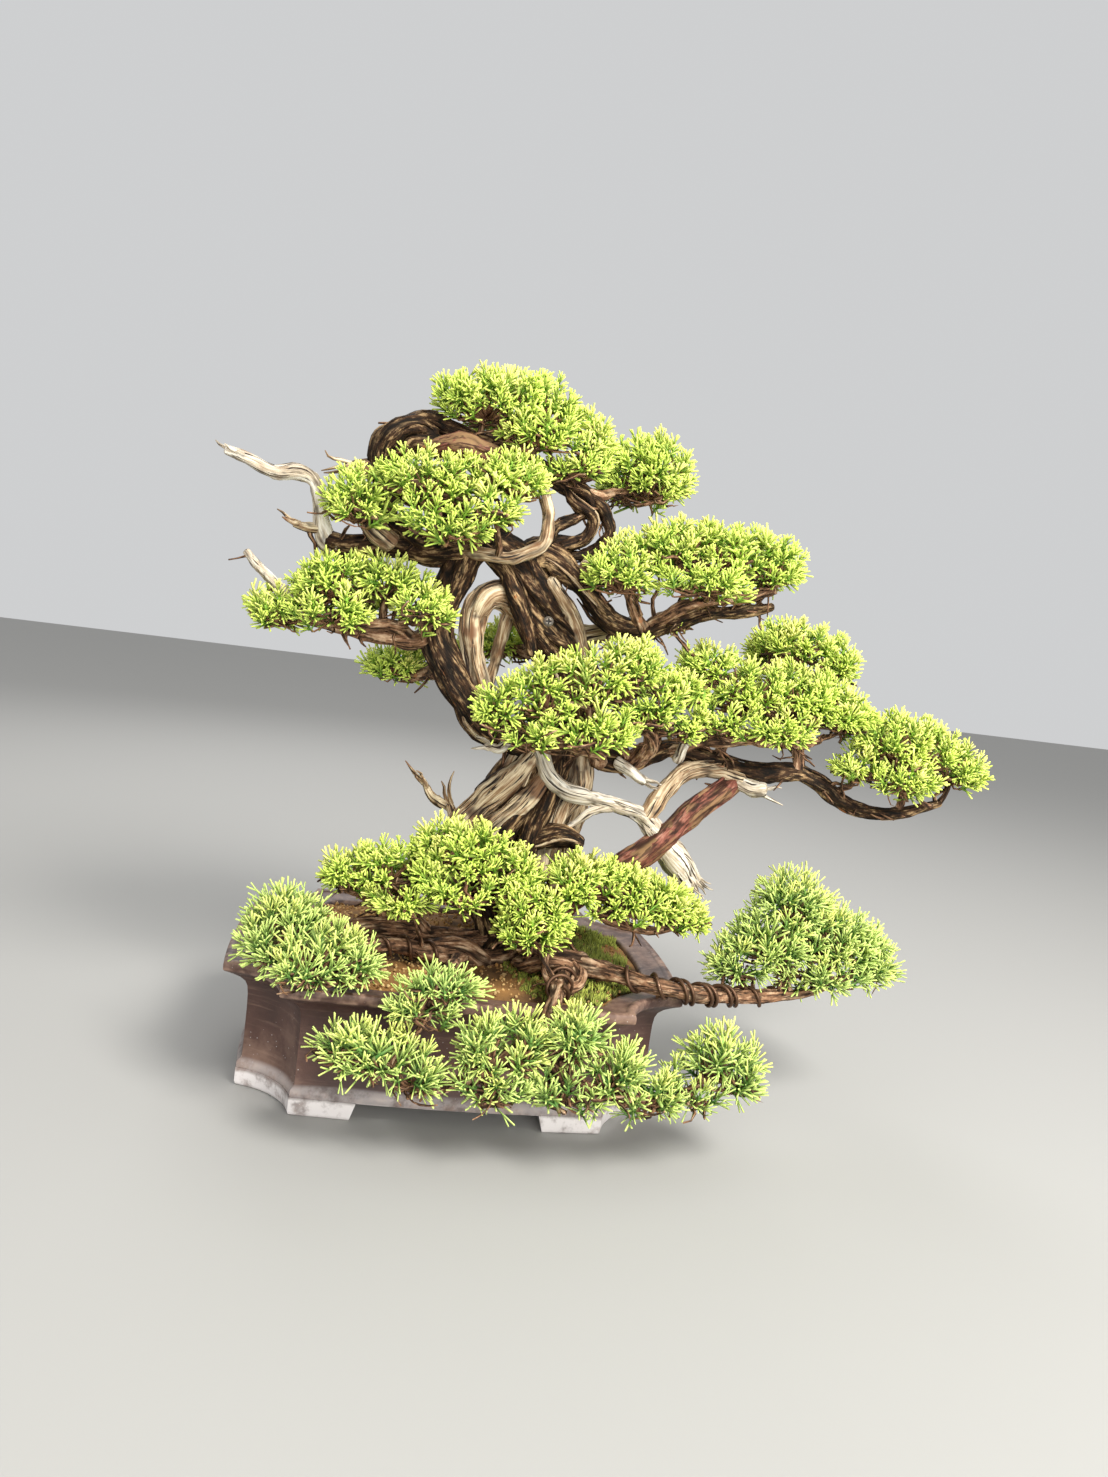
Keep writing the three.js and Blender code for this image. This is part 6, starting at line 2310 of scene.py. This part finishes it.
WOOD_FINISHES = (
    BarkFinish("live_bark", srgb(12, 7, 3), srgb(66, 44, 26), srgb(204, 170, 124), srgb(156, 100, 58), 0.34),
    BareWoodFinish("bare_wood", srgb(226, 208, 174), srgb(142, 110, 76), srgb(38, 25, 16),
                   srgb(110, 72, 44), 0.45),
    BareWoodFinish("silver_wood", srgb(236, 230, 216), srgb(186, 170, 146), srgb(52, 38, 28),
                   srgb(136, 106, 78), 0.4),
    BarkFinish("red_bark", srgb(52, 32, 24), srgb(134, 80, 66), srgb(184, 136, 116), srgb(138, 108, 76),
               0.56, 0.001),
    BarkFinish("twig_bark", srgb(32, 20, 12), srgb(140, 103, 76), srgb(226, 195, 160), srgb(178, 124, 88),
               0.34),
)
UPPER_FOLIAGE = FoliageFinish("upper_foliage", srgb(128, 100, 62), srgb(72, 118, 32), srgb(154, 196, 70),
                              srgb(218, 237, 110), srgb(246, 242, 142))
LOWER_FOLIAGE = FoliageFinish("lower_foliage", srgb(118, 98, 62), srgb(72, 118, 54), srgb(138, 182, 92),
                              srgb(206, 226, 128), srgb(238, 240, 134), 0.32)
CASCADE_AREA = 285.0


def build_foliage(twig: Material, anchors: np.ndarray) -> None:
    """Makes all the foliage pads.

    Args:
        twig: the branchlets' material.
        anchors: places on the wood that branchlets can leave from.
    """
    scatters = []
    for full, thin in ((MATURE_SPRAY, MATURE_THIN), (YOUNG_SPRAY, YOUNG_THIN)):
        shapes = [full.shape(seed) for seed in range(1, FULL_SPRAYS + 1)]
        shapes += [thin.shape(seed) for seed in range(1, THIN_SPRAYS + 1)]
        scatters.append(Scatter(full.name, shapes))
    mature, young = scatters
    upper, lower = UPPER_FOLIAGE.material(), LOWER_FOLIAGE.material()
    kinds = {True: (young, twig, lower, "foliage_lower"), False: (mature, twig, upper, "foliage_upper")}
    for number, (name, rounds) in enumerate(PADS.items()):
        area = CASCADE_AREA if name.startswith("cascade") else FoliagePad.area_per_spray
        lobes = [Lobe(np.array(lobe[:3], float), np.array(lobe[3:], float)) for lobe in rounds]
        FoliagePad(name, lobes, *kinds[name in YOUNG_PADS], 100 + number, anchors, area).build()
    mature.clear()
    young.clear()


def build_soil() -> None:
    """Makes soil, granules and moss."""
    granules = Scatter("granules", [granule_shape(seed) for seed in range(4)])
    moss = Scatter("moss", [moss_shape(seed) for seed in range(5)])
    PottedSoil(granules, moss).build(GranuleFinish().material(), MossFinish().material())
    granules.clear()
    moss.clear()


def dress_kept_nodes() -> None:
    """Gives the CAD nodes that stay their materials."""
    low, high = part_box("trunk_screw")
    head = ((low.x + high.x) / 2, (low.z + high.z) / 2)
    steel, plastic = SteelFinish(head).material(), PlasticFinish().material()
    finishes = {"trunk_screw": steel, "drain_screen_left": plastic, "drain_screen_right": plastic}
    for name, material in finishes.items():
        for place in frame["nodes"][name].material_slots:
            place.material = material


def main() -> None:
    """Builds the dressed model and its studio."""
    finishes = [finish.material() for finish in WOOD_FINISHES]
    anchors = TreeWood().build(finishes)
    build_foliage(finishes[Wood.TWIG.value], anchors)
    ClayPot().build()
    build_soil()
    tube, wire = wire_tree(), WireFinish().material()
    for wound in WIRES:
        wound.build(tube, wire)
    dress_kept_nodes()
    Studio().build()


if __name__ == "__main__":
    main()
